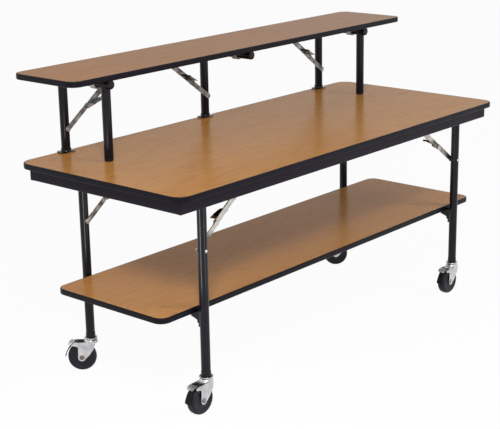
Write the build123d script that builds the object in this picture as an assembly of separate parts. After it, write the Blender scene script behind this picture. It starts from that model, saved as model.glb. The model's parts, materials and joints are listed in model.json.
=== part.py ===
from build123d import *
import os
from math import cos, hypot, radians, sin

os.makedirs("parts", exist_ok=True)

# Mobile buffet table: folding legs on casters, an under-shelf and a free-standing riser.
# Origin on the floor under the middle of the top, +X along the length, +Y to the rear,
# +Z up, millimetres.

INCH = 25.4

# panels: laminated boards with a pressed-on edge band
TOP_LENGTH = 72 * INCH
TOP_DEPTH = 30 * INCH
TOP_HEIGHT = 30.5 * INCH
TOP_CORNER = 50.0
SHELF_LENGTH = 72 * INCH
SHELF_DEPTH = 504.0
SHELF_HEIGHT = 361.0
SHELF_CORNER = 38.0
RISER_LENGTH = 72 * INCH
RISER_DEPTH = 12 * INCH
RISER_LIFT = 12 * INCH
RISER_HEIGHT = TOP_HEIGHT + RISER_LIFT
RISER_SETBACK = 0.0
RISER_Y = TOP_DEPTH / 2 - RISER_DEPTH / 2 - RISER_SETBACK
RISER_CORNER = 38.0
BOARD_THICK = 20.0
BAND_THICK = 4.5
BAND_ROUND = 3.6
BAND_FIT = 0.2

# apron, folded sheet under the top
APRON_INSET = 29.0
APRON_DEPTH = 44.0
APRON_SHEET = 1.6
APRON_FLANGE = 24.0
APRON_HEM = 10.0

# tubes of the leg sets; legs and under-shelf stand a little forward of the top's middle
TUBE_R = 0.625 * INCH
TUBE_WALL = 1.65
LEG_INSET = 169.4
LEG_X = TOP_LENGTH / 2 - LEG_INSET
LEG_CLEAR = 26.0
LEG_Y = SHELF_DEPTH / 2 + LEG_CLEAR
LEG_SHIFT_Y = -28.0
RISER_LEG_INSET = 200.4
RISER_LEG_X = RISER_LENGTH / 2 - RISER_LEG_INSET
RISER_FRONT_STEP = 85.6
RISER_FRONT_Y = RISER_Y - RISER_FRONT_STEP
RISER_REAR_STEP = 130.9
RISER_REAR_Y = RISER_Y + RISER_REAR_STEP
RISER_TUBE_OUT = 28.0
RISER_TUBE_FRONT = RISER_FRONT_Y - RISER_TUBE_OUT
PIVOT_DROP = 22.0
FOLD_DEG = 82.0

# clearances
RUN_FIT = 0.05
HOLE_FIT = 0.1
SEAT_GAP = 0.3
LAYER_GAP = 0.4

# saddles that carry the pivot tubes
SADDLE_WALL = 5.0
SADDLE_WIDTH = 26.0
SADDLE_EAR = 14.0
SADDLE_FLANGE = 3.5
LEG_SADDLE_Y = 205.0
RISER_SADDLE_BEHIND = 47.0
RISER_SADDLE_AHEAD = 79.5
RISER_SADDLE_Y = (RISER_FRONT_Y + RISER_SADDLE_BEHIND, RISER_REAR_Y - RISER_SADDLE_AHEAD)
SCREW_R = 2.5
SCREW_HEAD_R = 5.0
SCREW_HEAD = 2.6
SCREW_BITE = 12.0

# two-link braces, the same on the table and on the riser
BRACE_LEG = 178.0
BRACE_TOP = 205.0
PIN_R = 4.0
LOWER_THICK = 4.0
LOWER_WIDTH = 14.0
EYE_R = 10.0
UPPER_THICK = 2.5
UPPER_WIDTH = 20.0
UPPER_FLANGE = 5.0
FLANGE_SHEET = 2.0
ANCHOR_THICK = 3.0
ANCHOR_WIDTH = 22.0
ANCHOR_FOOT = 26.0
LEVER_THICK = 2.5
LEVER_LENGTH = 72.0
LEVER_PAD = 28.0
LEVER_EAR = 16.0
LEVER_BELOW_DEG = 20.0
BOLT_HEAD_R = 8.0
BOLT_HEAD = 4.5

# casters; the rear pair stand turned about their stems, as they were last rolled
WHEEL_R = 2 * INCH
WHEEL_WIDTH = 32.0
WHEEL_SIDE_GAP = 1.5
TREAD_SIDE = 6.0
TREAD_EASE = 1.6
TREAD_STEP = 4.4
TREAD_ROUND = 9.0
TRAIL = 33.0
LEG_BOTTOM = 5 * INCH
AXLE_R = 5.0
AXLE_HEAD_R = 8.5
AXLE_HEAD = 4.5
HUB_R = 14.0
FORK_SHEET = 2.5
CROWN_THICK = 3.0
CROWN_R = 24.5
CROWN_TOP_R = 19.0
CROWN_CORNER = 18.0
SHOULDER_R = 9.0
SHOULDER_DROP = 8.0
CROWN_Z = WHEEL_R * 2 + 4.4
RACE_R = 24.0
RACE_THICK = 3.6
RACE_DOME = 10.0
KING_R = 6.0
KING_HEAD_R = 9.5
COLLAR_R = 18.5
COLLAR_HEIGHT = 14.0
STEM_LENGTH = 45.0
BRAKE_PIN_R = 3.0
BRAKE_PIN = (-62.0, 100.0)
REAR_TURN = -49.0
PEDAL_SHEET = 2.4
PEDAL_WIDTH = 29.0

# under-shelf brackets and the studs that carry them
GUSSET_THICK = 8.0
GUSSET_DEPTH = 40.0
GUSSET_TIP = 10.0
GUSSET_INNER_Y = 165.0
GUSSET_PLATE = 3.0
GUSSET_PLATE_IN = 20.0
GUSSET_PLATE_OUT = 8.0
GUSSET_BOW = 12.0
GUSSET_FOOT_BACK = 1.0
STUD_R = 6.0
STUD_CLEAR = 2.5

# riser feet
FOOT_LENGTH = 66.0
FOOT_DEPTH = 42.0
FOOT_CORNER = 14.0
FOOT_THICK = 5.0

TOP_UNDER = TOP_HEIGHT - BOARD_THICK
RISER_UNDER = RISER_HEIGHT - BOARD_THICK
SHELF_UNDER = SHELF_HEIGHT - BOARD_THICK
PIVOT_Z = TOP_UNDER - PIVOT_DROP
RISER_PIVOT_Z = RISER_UNDER - PIVOT_DROP
FRONT_Y = LEG_SHIFT_Y - LEG_Y
REAR_Y = LEG_SHIFT_Y + LEG_Y
CORNERS = {
    "front_left": (-LEG_X, FRONT_Y),
    "rear_left": (-LEG_X, REAR_Y),
    "front_right": (LEG_X, FRONT_Y),
    "rear_right": (LEG_X, REAR_Y),
}


def rod(start, end, radius):
    """A round bar between two points."""
    axis = Vector(end) - Vector(start)
    return extrude(Plane(origin=start, z_dir=axis) * Circle(radius), amount=axis.length)


def block(low, high):
    """A box between two opposite corners."""
    size = [b - a for a, b in zip(low, high)]
    middle = [(a + b) / 2 for a, b in zip(low, high)]
    return Pos(*middle) * Box(*size)


def side_plane(point, y, direction=(1, 0)):
    """A plane across the depth at y, with its x along a direction of the XZ plane."""
    return Plane(
        origin=(point[0], y, point[1]),
        x_dir=(direction[0], 0, direction[1]),
        z_dir=(0, 1, 0),
    )


def pin(point, radius, ys):
    """A round pin along Y through a point of the XZ plane."""
    return extrude(side_plane(point, ys[0]) * Circle(radius), amount=ys[1] - ys[0])


def bar(start, end, width, ys):
    """A flat bar with round ends between two points of the XZ plane."""
    run = (end[0] - start[0], end[1] - start[1])
    middle = ((start[0] + end[0]) / 2, (start[1] + end[1]) / 2)
    outline = SlotCenterToCenter(hypot(*run), width)
    return extrude(side_plane(middle, ys[0], run) * outline, amount=ys[1] - ys[0])


def layer(face, inward, start, thick):
    """The range of y of a layer that starts a distance inward of a face."""
    return tuple(sorted((face + inward * start, face + inward * (start + thick))))


def save(name, *solids):
    """Write one node, as one solid or as a group of them."""
    shape = solids[0] if len(solids) == 1 else Compound(children=list(solids))
    export_step(shape, f"parts/{name}.step")


def panel(length, depth, corner, top, y=0.0):
    """A board and the band round its edge."""
    bottom = Plane((0, y, top - BOARD_THICK))
    inner = (length - 2 * BAND_THICK, depth - 2 * BAND_THICK, corner - BAND_THICK)
    board = extrude(bottom * RectangleRounded(*inner), amount=BOARD_THICK)
    hole = [size + 2 * BAND_FIT for size in inner[:2]] + [inner[2] + BAND_FIT]
    band = extrude(bottom * RectangleRounded(length, depth, corner), amount=BOARD_THICK)
    rims = band.edges().group_by(Axis.Z)
    band = fillet(rims[0] + rims[-1], BAND_ROUND)
    band -= extrude(bottom * RectangleRounded(*hole), amount=BOARD_THICK)
    return board, band


def screw(x, y, under):
    """A pan-head screw driven up through a flange into a board."""
    seat = under - SADDLE_FLANGE
    head = Pos(x, y, seat - SCREW_HEAD / 2) * Cylinder(SCREW_HEAD_R, SCREW_HEAD)
    head = fillet(head.edges().group_by(Axis.Z)[0], SCREW_HEAD * 0.7)
    return head + rod((x, y, seat - SCREW_HEAD / 2), (x, y, under + SCREW_BITE), SCREW_R)


def screw_hole(x, y, under):
    """The clear hole of a screw, through its flange and into the board."""
    low = (x, y, under - 2 * SADDLE_FLANGE)
    return rod(low, (x, y, under + SCREW_BITE + SEAT_GAP), SCREW_R + HOLE_FIT)


def saddle_screws(x, y):
    """Where the two screws of a saddle stand."""
    reach = TUBE_R + SADDLE_WALL + SADDLE_EAR / 2
    return [(x - reach, y), (x + reach, y)]


def saddle(x, y, pivot_z, under):
    """A D-shaped saddle under a board, with a bore for a pivot tube and two ears."""
    radius = TUBE_R + SADDLE_WALL
    ys = (y - SADDLE_WIDTH / 2, y + SADDLE_WIDTH / 2)
    body = pin((x, pivot_z), radius, ys)
    body += block((x - radius, ys[0], pivot_z), (x + radius, ys[1], under))
    ear = radius + SADDLE_EAR
    body += block((x - ear, ys[0], under - SADDLE_FLANGE), (x + ear, ys[1], under))
    body -= pin((x, pivot_z), TUBE_R + RUN_FIT, (ys[0] - 1, ys[1] + 1))
    for place in saddle_screws(x, y):
        body -= screw_hole(*place, under)
    return body


class Brace:
    """A two-link brace beside one leg: anchor, upper arm, lower arm and lock lever.

    It is laid out for a leg that folds toward +X and mirrored for the other hand.
    """

    def __init__(self, pivot, face, inward, toward, under):
        tilt = radians(90 - FOLD_DEG)
        self.pivot, self.face, self.inward, self.toward = pivot, face, inward, toward
        self.under = under
        self.anchor_at = (
            pivot[0] + BRACE_TOP * cos(tilt),
            pivot[1] - BRACE_TOP * sin(tilt),
        )
        self.bolt_at = (pivot[0], pivot[1] - BRACE_LEG)
        run = (self.bolt_at[0] - self.anchor_at[0], self.bolt_at[1] - self.anchor_at[1])
        span = hypot(*run)
        self.along = (run[0] / span, run[1] / span)
        self.upper_length = (span + BRACE_TOP - BRACE_LEG) / 2
        self.knee_at = self.from_anchor(self.upper_length)
        start = LAYER_GAP
        self.lower_ys = self.layer(start, LOWER_THICK)
        start += LOWER_THICK + LAYER_GAP
        self.upper_start = start
        self.upper_ys = self.layer(start, UPPER_THICK)
        self.tongue_start = start + UPPER_THICK + LAYER_GAP
        self.flange_ys = self.layer(start, UPPER_FLANGE)
        self.lever_start = start + UPPER_FLANGE + LAYER_GAP

    def layer(self, start, thick):
        """The range of y of one layer of this brace."""
        return layer(self.face, self.inward, start, thick)

    def from_anchor(self, distance, aside=0.0):
        """A point along the straight brace, counted from the anchor pin."""
        return (
            self.anchor_at[0] + self.along[0] * distance - self.along[1] * aside,
            self.anchor_at[1] + self.along[1] * distance + self.along[0] * aside,
        )

    def handed(self, shape):
        """The shape as laid out, or mirrored about the leg."""
        if self.toward > 0:
            return shape
        return mirror(shape, about=Plane((self.pivot[0], 0, 0), z_dir=(1, 0, 0)))

    def foot_screw(self):
        """Where the screw of the anchor's foot stands."""
        y = self.face + self.inward * (self.tongue_start + ANCHOR_FOOT * 0.6)
        return (self.pivot[0] + self.toward * (self.anchor_at[0] - self.pivot[0]), y)

    def anchor(self):
        """The angle bracket under the board, with the pin of the upper arm."""
        x, z = self.anchor_at
        half = ANCHOR_WIDTH / 2
        ys = self.layer(self.tongue_start, ANCHOR_THICK)
        foot = self.layer(self.tongue_start, ANCHOR_FOOT)
        body = pin((x, z), half, ys)
        body += block((x - half, ys[0], z), (x + half, ys[1], self.under))
        low = self.under - SADDLE_FLANGE
        body += block((x - half, foot[0], low), (x + half, foot[1], self.under))
        thick = self.tongue_start + ANCHOR_THICK - self.upper_start
        body += pin((x, z), PIN_R, self.layer(self.upper_start, thick))
        return self.handed(body) - screw_hole(*self.foot_screw(), self.under)

    def upper_arm(self):
        """A pressed channel that turns on the anchor pin and carries the lever's rivet."""
        body = bar(self.anchor_at, self.knee_at, UPPER_WIDTH, self.upper_ys)
        for side in (-1, 1):
            aside = side * (UPPER_WIDTH - FLANGE_SHEET) / 2
            ends = (1.2 * UPPER_WIDTH, self.upper_length - UPPER_WIDTH)
            start, end = (self.from_anchor(d, aside) for d in ends)
            body += bar(start, end, FLANGE_SHEET, self.flange_ys)
        body -= pin(self.anchor_at, PIN_R + RUN_FIT, self.upper_ys)
        body += pin(self.knee_at, EYE_R * 0.7, self.flange_ys)
        rivet = self.lever_start + LEVER_THICK + LAYER_GAP - self.upper_start
        body += pin(self.knee_at, PIN_R, self.layer(self.upper_start, rivet))
        head = self.layer(self.upper_start + rivet, FLANGE_SHEET)
        body += pin(self.knee_at, EYE_R * 0.7, head)
        return self.handed(body)

    def lower_arm(self):
        """A flat bar with round eyes that turns on the leg's bolt."""
        body = bar(self.bolt_at, self.knee_at, LOWER_WIDTH, self.lower_ys)
        for eye in (self.bolt_at, self.knee_at):
            body += pin(eye, EYE_R, self.lower_ys)
        return self.handed(body - pin(self.bolt_at, PIN_R + RUN_FIT, self.lower_ys))

    def lever(self):
        """A bent finger lever on the knee rivet, lying below the upper arm."""
        turn = radians(-LEVER_BELOW_DEG)
        back = (-self.along[0], -self.along[1])
        run = (
            back[0] * cos(turn) - back[1] * sin(turn),
            back[0] * sin(turn) + back[1] * cos(turn),
        )
        up = (-run[1], run[0])
        ear_end = [k + r * LEVER_LENGTH * 0.45 for k, r in zip(self.knee_at, run)]
        ys = self.layer(self.lever_start, LEVER_THICK)
        body = bar(self.knee_at, ear_end, LEVER_EAR, ys)
        start = LEVER_EAR * 0.6
        middle = (start + LEVER_LENGTH) / 2
        lift = (LEVER_EAR - LEVER_THICK) / 2 - LEVER_THICK / 2
        at = [k + r * middle + u * lift for k, r, u in zip(self.knee_at, run, up)]
        wide = self.layer(self.lever_start, LEVER_PAD)
        plane = Plane(
            origin=(at[0], sum(wide) / 2, at[1]),
            x_dir=(run[0], 0, run[1]),
            z_dir=(up[0], 0, up[1]),
        )
        pad = plane * RectangleRounded(LEVER_LENGTH - start, LEVER_PAD, LEVER_EAR / 3)
        body += extrude(pad, amount=LEVER_THICK)
        return self.handed(body - pin(self.knee_at, PIN_R + RUN_FIT, ys))

    def bolt(self):
        """The through bolt of the leg: domed head outside, flush end in the lower arm."""
        outer = self.face - self.inward * 2 * TUBE_R
        end = self.face + self.inward * (LAYER_GAP + LOWER_THICK)
        body = pin(self.bolt_at, PIN_R, tuple(sorted((outer, end))))
        seat = outer - self.inward * HOLE_FIT
        ys = tuple(sorted((seat, seat - self.inward * BOLT_HEAD)))
        head = pin(self.bolt_at, BOLT_HEAD_R, ys)
        rim = head.edges().sort_by(Axis.Y)[0 if self.inward > 0 else -1]
        neck = tuple(sorted((outer, seat)))
        return fillet(rim, BOLT_HEAD * 0.6) + body + pin(self.bolt_at, PIN_R, neck)

    def bolt_hole(self):
        """The cross hole of the bolt through the leg."""
        outer = self.face - self.inward * (2 * TUBE_R + 1)
        ys = tuple(sorted((outer, self.face + self.inward)))
        return pin(self.bolt_at, PIN_R + HOLE_FIT, ys)


def leg(x, y, brace):
    """A leg of the table: a tube with a closed, rounded top, holed for the brace bolt."""
    top = PIVOT_Z + TUBE_R
    body = rod((x, y, LEG_BOTTOM), (x, y, top), TUBE_R)
    body = fillet(body.edges().group_by(Axis.Z)[-1], 2 * TUBE_WALL)
    inside = (x, y, top - 2 * TUBE_WALL)
    body -= rod((x, y, LEG_BOTTOM), inside, TUBE_R - TUBE_WALL)
    return body - brace.bolt_hole()


def cross_tube(x):
    """The tube that joins two legs and turns in the saddles."""
    ends = (x, FRONT_Y, PIVOT_Z), (x, REAR_Y, PIVOT_Z)
    body = rod(*ends, TUBE_R) - rod(*ends, TUBE_R - TUBE_WALL)
    for y in (FRONT_Y, REAR_Y):
        body -= rod((x, y, LEG_BOTTOM), (x, y, TOP_UNDER), TUBE_R + HOLE_FIT)
    return body


def shelf_stud(x, y):
    """A stud on the inner face of a leg, on which a shelf bracket rests."""
    inward = -1 if y > 0 else 1
    face = y + inward * TUBE_R
    tip = LEG_SHIFT_Y - inward * (SHELF_DEPTH / 2 + STUD_CLEAR)
    z = SHELF_UNDER - GUSSET_DEPTH - SEAT_GAP - STUD_R
    root = face - inward * TUBE_WALL * 0.5
    body = pin((x, z), STUD_R, tuple(sorted((root, tip))))
    return body - rod((x, y, LEG_BOTTOM), (x, y, PIVOT_Z), TUBE_R)


def caster_stem(x, y):
    """Collar, upper race and king pin: the half of a caster that is fixed in the leg."""
    race_z = LEG_BOTTOM - RACE_THICK - 2 * TUBE_WALL
    body = Pos(x, y, race_z + RACE_THICK / 2) * Cylinder(RACE_R, RACE_THICK)
    body = chamfer(body.edges().group_by(Axis.Z)[-1], RACE_THICK / 3)
    collar_top = LEG_BOTTOM + COLLAR_HEIGHT
    collar = rod((x, y, race_z + RACE_THICK), (x, y, collar_top), COLLAR_R)
    collar = fillet(collar.edges().group_by(Axis.Z)[-1], 1.5)
    body += collar - rod((x, y, LEG_BOTTOM), (x, y, collar_top), TUBE_R + HOLE_FIT)
    stem_r = TUBE_R - TUBE_WALL - HOLE_FIT
    body += rod((x, y, race_z + RACE_THICK), (x, y, LEG_BOTTOM + STEM_LENGTH), stem_r)
    king_low = CROWN_Z - LAYER_GAP
    body += rod((x, y, king_low), (x, y, race_z), KING_R)
    head_low = king_low - RACE_THICK
    return body + rod((x, y, head_low), (x, y, king_low), KING_HEAD_R)


def caster_place(x, y):
    """Where a caster stands, and how far it is turned about its stem."""
    return Pos(x, y, 0) * Rot(0, 0, REAR_TURN if y > 0 else 0)


def caster_fork(x, y):
    """The swivelling fork with its lower race, axle bolt and brake pin."""
    inner = WHEEL_WIDTH / 2 + WHEEL_SIDE_GAP
    outer = inner + FORK_SHEET
    top = LEG_BOTTOM - RACE_THICK - 2 * TUBE_WALL - LAYER_GAP
    dome = top - CROWN_Z - CROWN_THICK
    crown = Plane((0, 0, CROWN_Z)) * RectangleRounded(2 * CROWN_R, 2 * outer, CROWN_CORNER)
    body = extrude(crown, amount=CROWN_THICK)
    body += Pos(0, 0, top - dome / 2) * Cone(CROWN_R, CROWN_TOP_R, dome)
    axle = (-TRAIL, WHEEL_R)
    for side in (-1, 1):
        ys = tuple(sorted((side * inner, side * outer)))
        plane = side_plane((0, 0), ys[0])
        # the sketch plane's y points down, so heights are written negative
        boss = Pos(axle[0], -axle[1]) * Circle(1.6 * AXLE_HEAD_R)
        head = Pos(0, -CROWN_Z) * Rectangle(1.1 * CROWN_R, 2 * CROWN_THICK)
        arm = make_hull(boss.edges() + head.edges())
        ear = Pos(BRAKE_PIN[0], -BRAKE_PIN[1]) * Circle(2.4 * BRAKE_PIN_R)
        shoulder = Pos(-0.7 * CROWN_R, -CROWN_Z + SHOULDER_DROP) * Circle(SHOULDER_R)
        arm += make_hull(ear.edges() + shoulder.edges())
        body += extrude(plane * arm, amount=FORK_SHEET)
        body -= pin(axle, AXLE_R + HOLE_FIT, (ys[0] - 1, ys[1] + 1))
        body -= pin(BRAKE_PIN, BRAKE_PIN_R + HOLE_FIT, (ys[0] - 1, ys[1] + 1))
    body -= rod((0, 0, CROWN_Z - CROWN_THICK), (0, 0, top + CROWN_THICK), KING_R + RUN_FIT)
    bolt = pin(axle, AXLE_R, (-outer, outer))
    for side in (-1, 1):
        ends = (side * (outer + HOLE_FIT), side * (outer + AXLE_HEAD))
        head = pin(axle, AXLE_HEAD_R, tuple(sorted(ends)))
        rim = head.edges().sort_by(Axis.Y)[-1 if side > 0 else 0]
        bolt += fillet(rim, 1.5)
        neck = (side * outer, side * (outer + HOLE_FIT))
        bolt += pin(axle, AXLE_R, tuple(sorted(neck)))
    brake_pin = pin(BRAKE_PIN, BRAKE_PIN_R, (-outer, outer))
    return [caster_place(x, y) * piece for piece in (body, bolt, brake_pin)]


def caster_wheel(x, y):
    """A wheel with a rounded tread, dished sides and a hub on the axle."""
    half = WHEEL_WIDTH / 2
    hub = half + WHEEL_SIDE_GAP - LAYER_GAP
    bore = AXLE_R + RUN_FIT
    rim = WHEEL_R * 0.72
    web = half * 0.45
    side = [(bore, hub), (HUB_R, hub), (HUB_R, web), (rim, web), (rim, half)]
    tread = [(WHEEL_R - TREAD_SIDE, half), (WHEEL_R - TREAD_EASE, half - TREAD_STEP), (WHEEL_R, half - TREAD_ROUND)]
    upper = side + tread
    lower = [(r, -w) for r, w in reversed(upper)]
    profile = make_face(Polyline(*upper, *lower, close=True))
    body = revolve(profile, Axis.Y)
    return caster_place(x, y) * Pos(-TRAIL, 0, WHEEL_R) * body


def brake_pedal(x, y):
    """A rocker on the brake pin: a tab above the wheel and a tab behind it."""
    ys = (-PEDAL_WIDTH / 2, PEDAL_WIDTH / 2)
    knee, low, toe = (-85.0, 84.0), (-92.0, 60.0), (-104.0, 51.0)
    upper = (-82.0, 112.0)
    body = pin(BRAKE_PIN, BRAKE_PIN_R + PEDAL_SHEET, ys)
    for start, end in ((BRAKE_PIN, upper), (BRAKE_PIN, knee), (knee, low), (low, toe)):
        body += bar(start, end, PEDAL_SHEET, ys)
    body -= pin(BRAKE_PIN, BRAKE_PIN_R + RUN_FIT, ys)
    return caster_place(x, y) * body


def gusset(x, y):
    """A shelf bracket: a screwed plate and a gusset that reaches out to the leg."""
    outward = 1 if y > 0 else -1
    end = LEG_Y - TUBE_R - SEAT_GAP
    foot = SHELF_DEPTH / 2 - GUSSET_FOOT_BACK
    low = -GUSSET_DEPTH
    edge = Polyline((GUSSET_INNER_Y, -GUSSET_TIP), (GUSSET_INNER_Y, 0), (end, 0), (end, low), (foot, low))
    middle = ((GUSSET_INNER_Y + foot) / 2 + GUSSET_BOW, low * 0.42)
    curve = ThreePointArc((foot, low), middle, (GUSSET_INNER_Y, -GUSSET_TIP))
    plane = Plane((x - GUSSET_THICK / 2, 0, SHELF_UNDER), x_dir=(0, 1, 0), z_dir=(1, 0, 0))
    body = extrude(plane * make_face(edge + curve), amount=GUSSET_THICK)
    half = 2.6 * GUSSET_THICK
    plate_low = (x - half, GUSSET_INNER_Y - GUSSET_PLATE_IN, SHELF_UNDER - GUSSET_PLATE)
    body += block(plate_low, (x + half, SHELF_DEPTH / 2 - GUSSET_PLATE_OUT, SHELF_UNDER))
    return Pos(0, LEG_SHIFT_Y, 0) * (body if outward > 0 else mirror(body, about=Plane.XZ))


def gusset_bolt_at(y):
    """Where the bolt of a shelf bracket crosses the YZ plane."""
    return (LEG_SHIFT_Y + 0.82 * (y - LEG_SHIFT_Y), SHELF_UNDER - GUSSET_DEPTH * 0.42)


def gusset_bolt(x, y):
    """The bolt whose head shows on the side of a shelf bracket."""
    at = gusset_bolt_at(y)
    half = GUSSET_THICK / 2 + HOLE_FIT
    body = rod((x - half, at[0], at[1]), (x + half, at[0], at[1]), PIN_R)
    for side in (-1, 1):
        start = (x + side * half, at[0], at[1])
        body += rod(start, (x + side * (half + BOLT_HEAD), at[0], at[1]), 1.5 * PIN_R)
    return body


def gusset_hole(x, y):
    """The clear hole of the bracket bolt."""
    at = gusset_bolt_at(y)
    return rod((x - GUSSET_THICK, *at), (x + GUSSET_THICK, *at), PIN_R + HOLE_FIT)


def riser_leg_set(x, leg_ys, brace):
    """A pivot tube under the riser with its legs: glide under each, foot plate at the rear."""
    pivot = (x, RISER_PIVOT_Z)
    reach = RISER_PIVOT_Z - TOP_HEIGHT - SEAT_GAP
    ends = (x, RISER_TUBE_FRONT, pivot[1]), (x, RISER_REAR_Y + TUBE_R, pivot[1])
    cross = rod(*ends, TUBE_R)
    cross -= rod((x, ends[0][1] + TUBE_WALL, pivot[1]), (x, ends[1][1] - TUBE_WALL, pivot[1]), TUBE_R - TUBE_WALL)
    solids = [cross]
    for y in leg_ys:
        dome = Pos(x, y, pivot[1]) * Sphere(reach)
        foot = (x, y, TOP_HEIGHT)
        body = rod(foot, (x, y, pivot[1]), TUBE_R) & dome
        hollow = TOP_HEIGHT + 3 * FOOT_THICK
        body -= rod((x, y, hollow), (x, y, pivot[1]), TUBE_R - TUBE_WALL)
        body -= rod(*ends, TUBE_R + HOLE_FIT)
        if y == RISER_REAR_Y:
            body -= brace.bolt_hole()
            plate = Plane(foot) * RectangleRounded(FOOT_LENGTH, FOOT_DEPTH, FOOT_CORNER)
            plate = extrude(plate, amount=FOOT_THICK) & dome
            plate = fillet(plate.edges().group_by(Axis.Z)[-1], 1.2)
            neck = rod(foot, (x, y, TOP_HEIGHT + 3 * FOOT_THICK), TUBE_R + 2.0) & dome
            sleeve = plate + neck
            solids.append(sleeve - rod(foot, (x, y, pivot[1]), TUBE_R + HOLE_FIT))
        solids.append(body)
    return solids


leg_braces = {}
for name, (x, y) in CORNERS.items():
    inward = -1 if y > 0 else 1
    face = y + inward * TUBE_R
    leg_braces[name] = Brace((x, PIVOT_Z), face, inward, -1 if x > 0 else 1, TOP_UNDER)

RISER_SETS = {
    "left": (-RISER_LEG_X, 1, (RISER_FRONT_Y, RISER_REAR_Y)),
    "middle": (0.0, -1, (RISER_REAR_Y,)),
    "right": (RISER_LEG_X, -1, (RISER_FRONT_Y, RISER_REAR_Y)),
}
riser_braces = {}
for name, (x, toward, leg_ys) in RISER_SETS.items():
    face = RISER_REAR_Y - TUBE_R
    riser_braces[name] = Brace((x, RISER_PIVOT_Z), face, -1, toward, RISER_UNDER)

# table top
saddle_ys = (LEG_SHIFT_Y - LEG_SADDLE_Y, LEG_SHIFT_Y + LEG_SADDLE_Y)
saddle_places = [(x, y) for x in (-LEG_X, LEG_X) for y in saddle_ys]
top_screws = [place for spot in saddle_places for place in saddle_screws(*spot)]
top_screws += [brace.foot_screw() for brace in leg_braces.values()]
board, band = panel(TOP_LENGTH, TOP_DEPTH, TOP_CORNER, TOP_HEIGHT)
for place in top_screws:
    board -= screw_hole(*place, TOP_UNDER)
save("top_board", board)
save("top_edge_band", band)
save("leg_saddles", *[saddle(*place, PIVOT_Z, TOP_UNDER) for place in saddle_places])
save("top_screws", *[screw(*place, TOP_UNDER) for place in top_screws])
save("leg_brace_anchors", *[brace.anchor() for brace in leg_braces.values()])

# apron
half_x = TOP_LENGTH / 2 - APRON_INSET
half_y = TOP_DEPTH / 2 - APRON_INSET
apron_low = TOP_UNDER - APRON_DEPTH


def side_rail():
    """The rear apron rail, running the whole length."""
    inner = half_y - APRON_SHEET
    body = block((-half_x, inner, apron_low), (half_x, half_y, TOP_UNDER))
    end = half_x - APRON_SHEET - HOLE_FIT
    flange = (-end, half_y - APRON_FLANGE, TOP_UNDER - APRON_SHEET)
    body += block(flange, (end, half_y, TOP_UNDER))
    hem = (-end, half_y - APRON_HEM, apron_low)
    return body + block(hem, (end, half_y, apron_low + APRON_SHEET))


def end_rail():
    """The right apron rail, between the two long rails."""
    wide = half_y - APRON_SHEET - HOLE_FIT
    body = block((half_x - APRON_SHEET, -wide, apron_low), (half_x, wide, TOP_UNDER))
    clear = half_y - APRON_FLANGE - HOLE_FIT
    flange = (half_x - APRON_FLANGE, -clear, TOP_UNDER - APRON_SHEET)
    body += block(flange, (half_x, clear, TOP_UNDER))
    hem = (half_x - APRON_HEM, -clear, apron_low)
    return body + block(hem, (half_x, clear, apron_low + APRON_SHEET))


save("apron_side_rails", side_rail(), mirror(side_rail(), about=Plane.XZ))
save("apron_end_rails", end_rail(), mirror(end_rail(), about=Plane.YZ))

# leg sets, braces and casters
for hand, x in (("left", -LEG_X), ("right", LEG_X)):
    braces = [leg_braces[f"{end}_{hand}"] for end in ("front", "rear")]
    for end, y, brace in zip(("front", "rear"), (FRONT_Y, REAR_Y), braces):
        save(f"{hand}_{end}_leg", leg(x, y, brace))
        save(f"{hand}_{end}_lever", brace.lever())
    save(f"{hand}_cross_tube", cross_tube(x))
    save(f"{hand}_brace_bolts", *[brace.bolt() for brace in braces])
    save(f"{hand}_shelf_studs", *[shelf_stud(x, y) for y in (FRONT_Y, REAR_Y)])
    save(f"{hand}_caster_stems", *[caster_stem(x, y) for y in (FRONT_Y, REAR_Y)])
    save(f"{hand}_upper_arms", *[brace.upper_arm() for brace in braces])
    save(f"{hand}_lower_arms", *[brace.lower_arm() for brace in braces])
for name, place in CORNERS.items():
    save(f"{name}_fork", *caster_fork(*place))
    save(f"{name}_wheel", caster_wheel(*place))
    save(f"{name}_brake_pedal", brake_pedal(*place))

# under-shelf
board, band = panel(SHELF_LENGTH, SHELF_DEPTH, SHELF_CORNER, SHELF_HEIGHT, LEG_SHIFT_Y)
save("shelf_board", board)
save("shelf_edge_band", band)
brackets = [gusset(*place) - gusset_hole(*place) for place in CORNERS.values()]
save("shelf_brackets", *brackets, *[gusset_bolt(*place) for place in CORNERS.values()])

# riser
board, band = panel(RISER_LENGTH, RISER_DEPTH, RISER_CORNER, RISER_HEIGHT, RISER_Y)
saddle_places = [(x, y) for x, _, _ in RISER_SETS.values() for y in RISER_SADDLE_Y]
riser_screws = [place for spot in saddle_places for place in saddle_screws(*spot)]
riser_screws += [brace.foot_screw() for brace in riser_braces.values()]
for place in riser_screws:
    board -= screw_hole(*place, RISER_UNDER)
save("riser_board", board)
save("riser_edge_band", band)
save("riser_saddles", *[saddle(*place, RISER_PIVOT_Z, RISER_UNDER) for place in saddle_places])
save("riser_screws", *[screw(*place, RISER_UNDER) for place in riser_screws])
save("riser_brace_anchors", *[brace.anchor() for brace in riser_braces.values()])
for name, (x, toward, leg_ys) in RISER_SETS.items():
    brace = riser_braces[name]
    save(f"riser_{name}_legs", *riser_leg_set(x, leg_ys, brace), brace.bolt())
    save(f"riser_{name}_upper_arm", brace.upper_arm())
    save(f"riser_{name}_lower_arm", brace.lower_arm())
    save(f"riser_{name}_lever", brace.lever())
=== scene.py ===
import json
import logging
from dataclasses import dataclass
from enum import Enum
from math import asin, cos, degrees, hypot, pi, radians, sin
from typing import Callable, Iterable, Sequence

import bmesh
import bpy
from mathutils import Matrix, Vector

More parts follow.
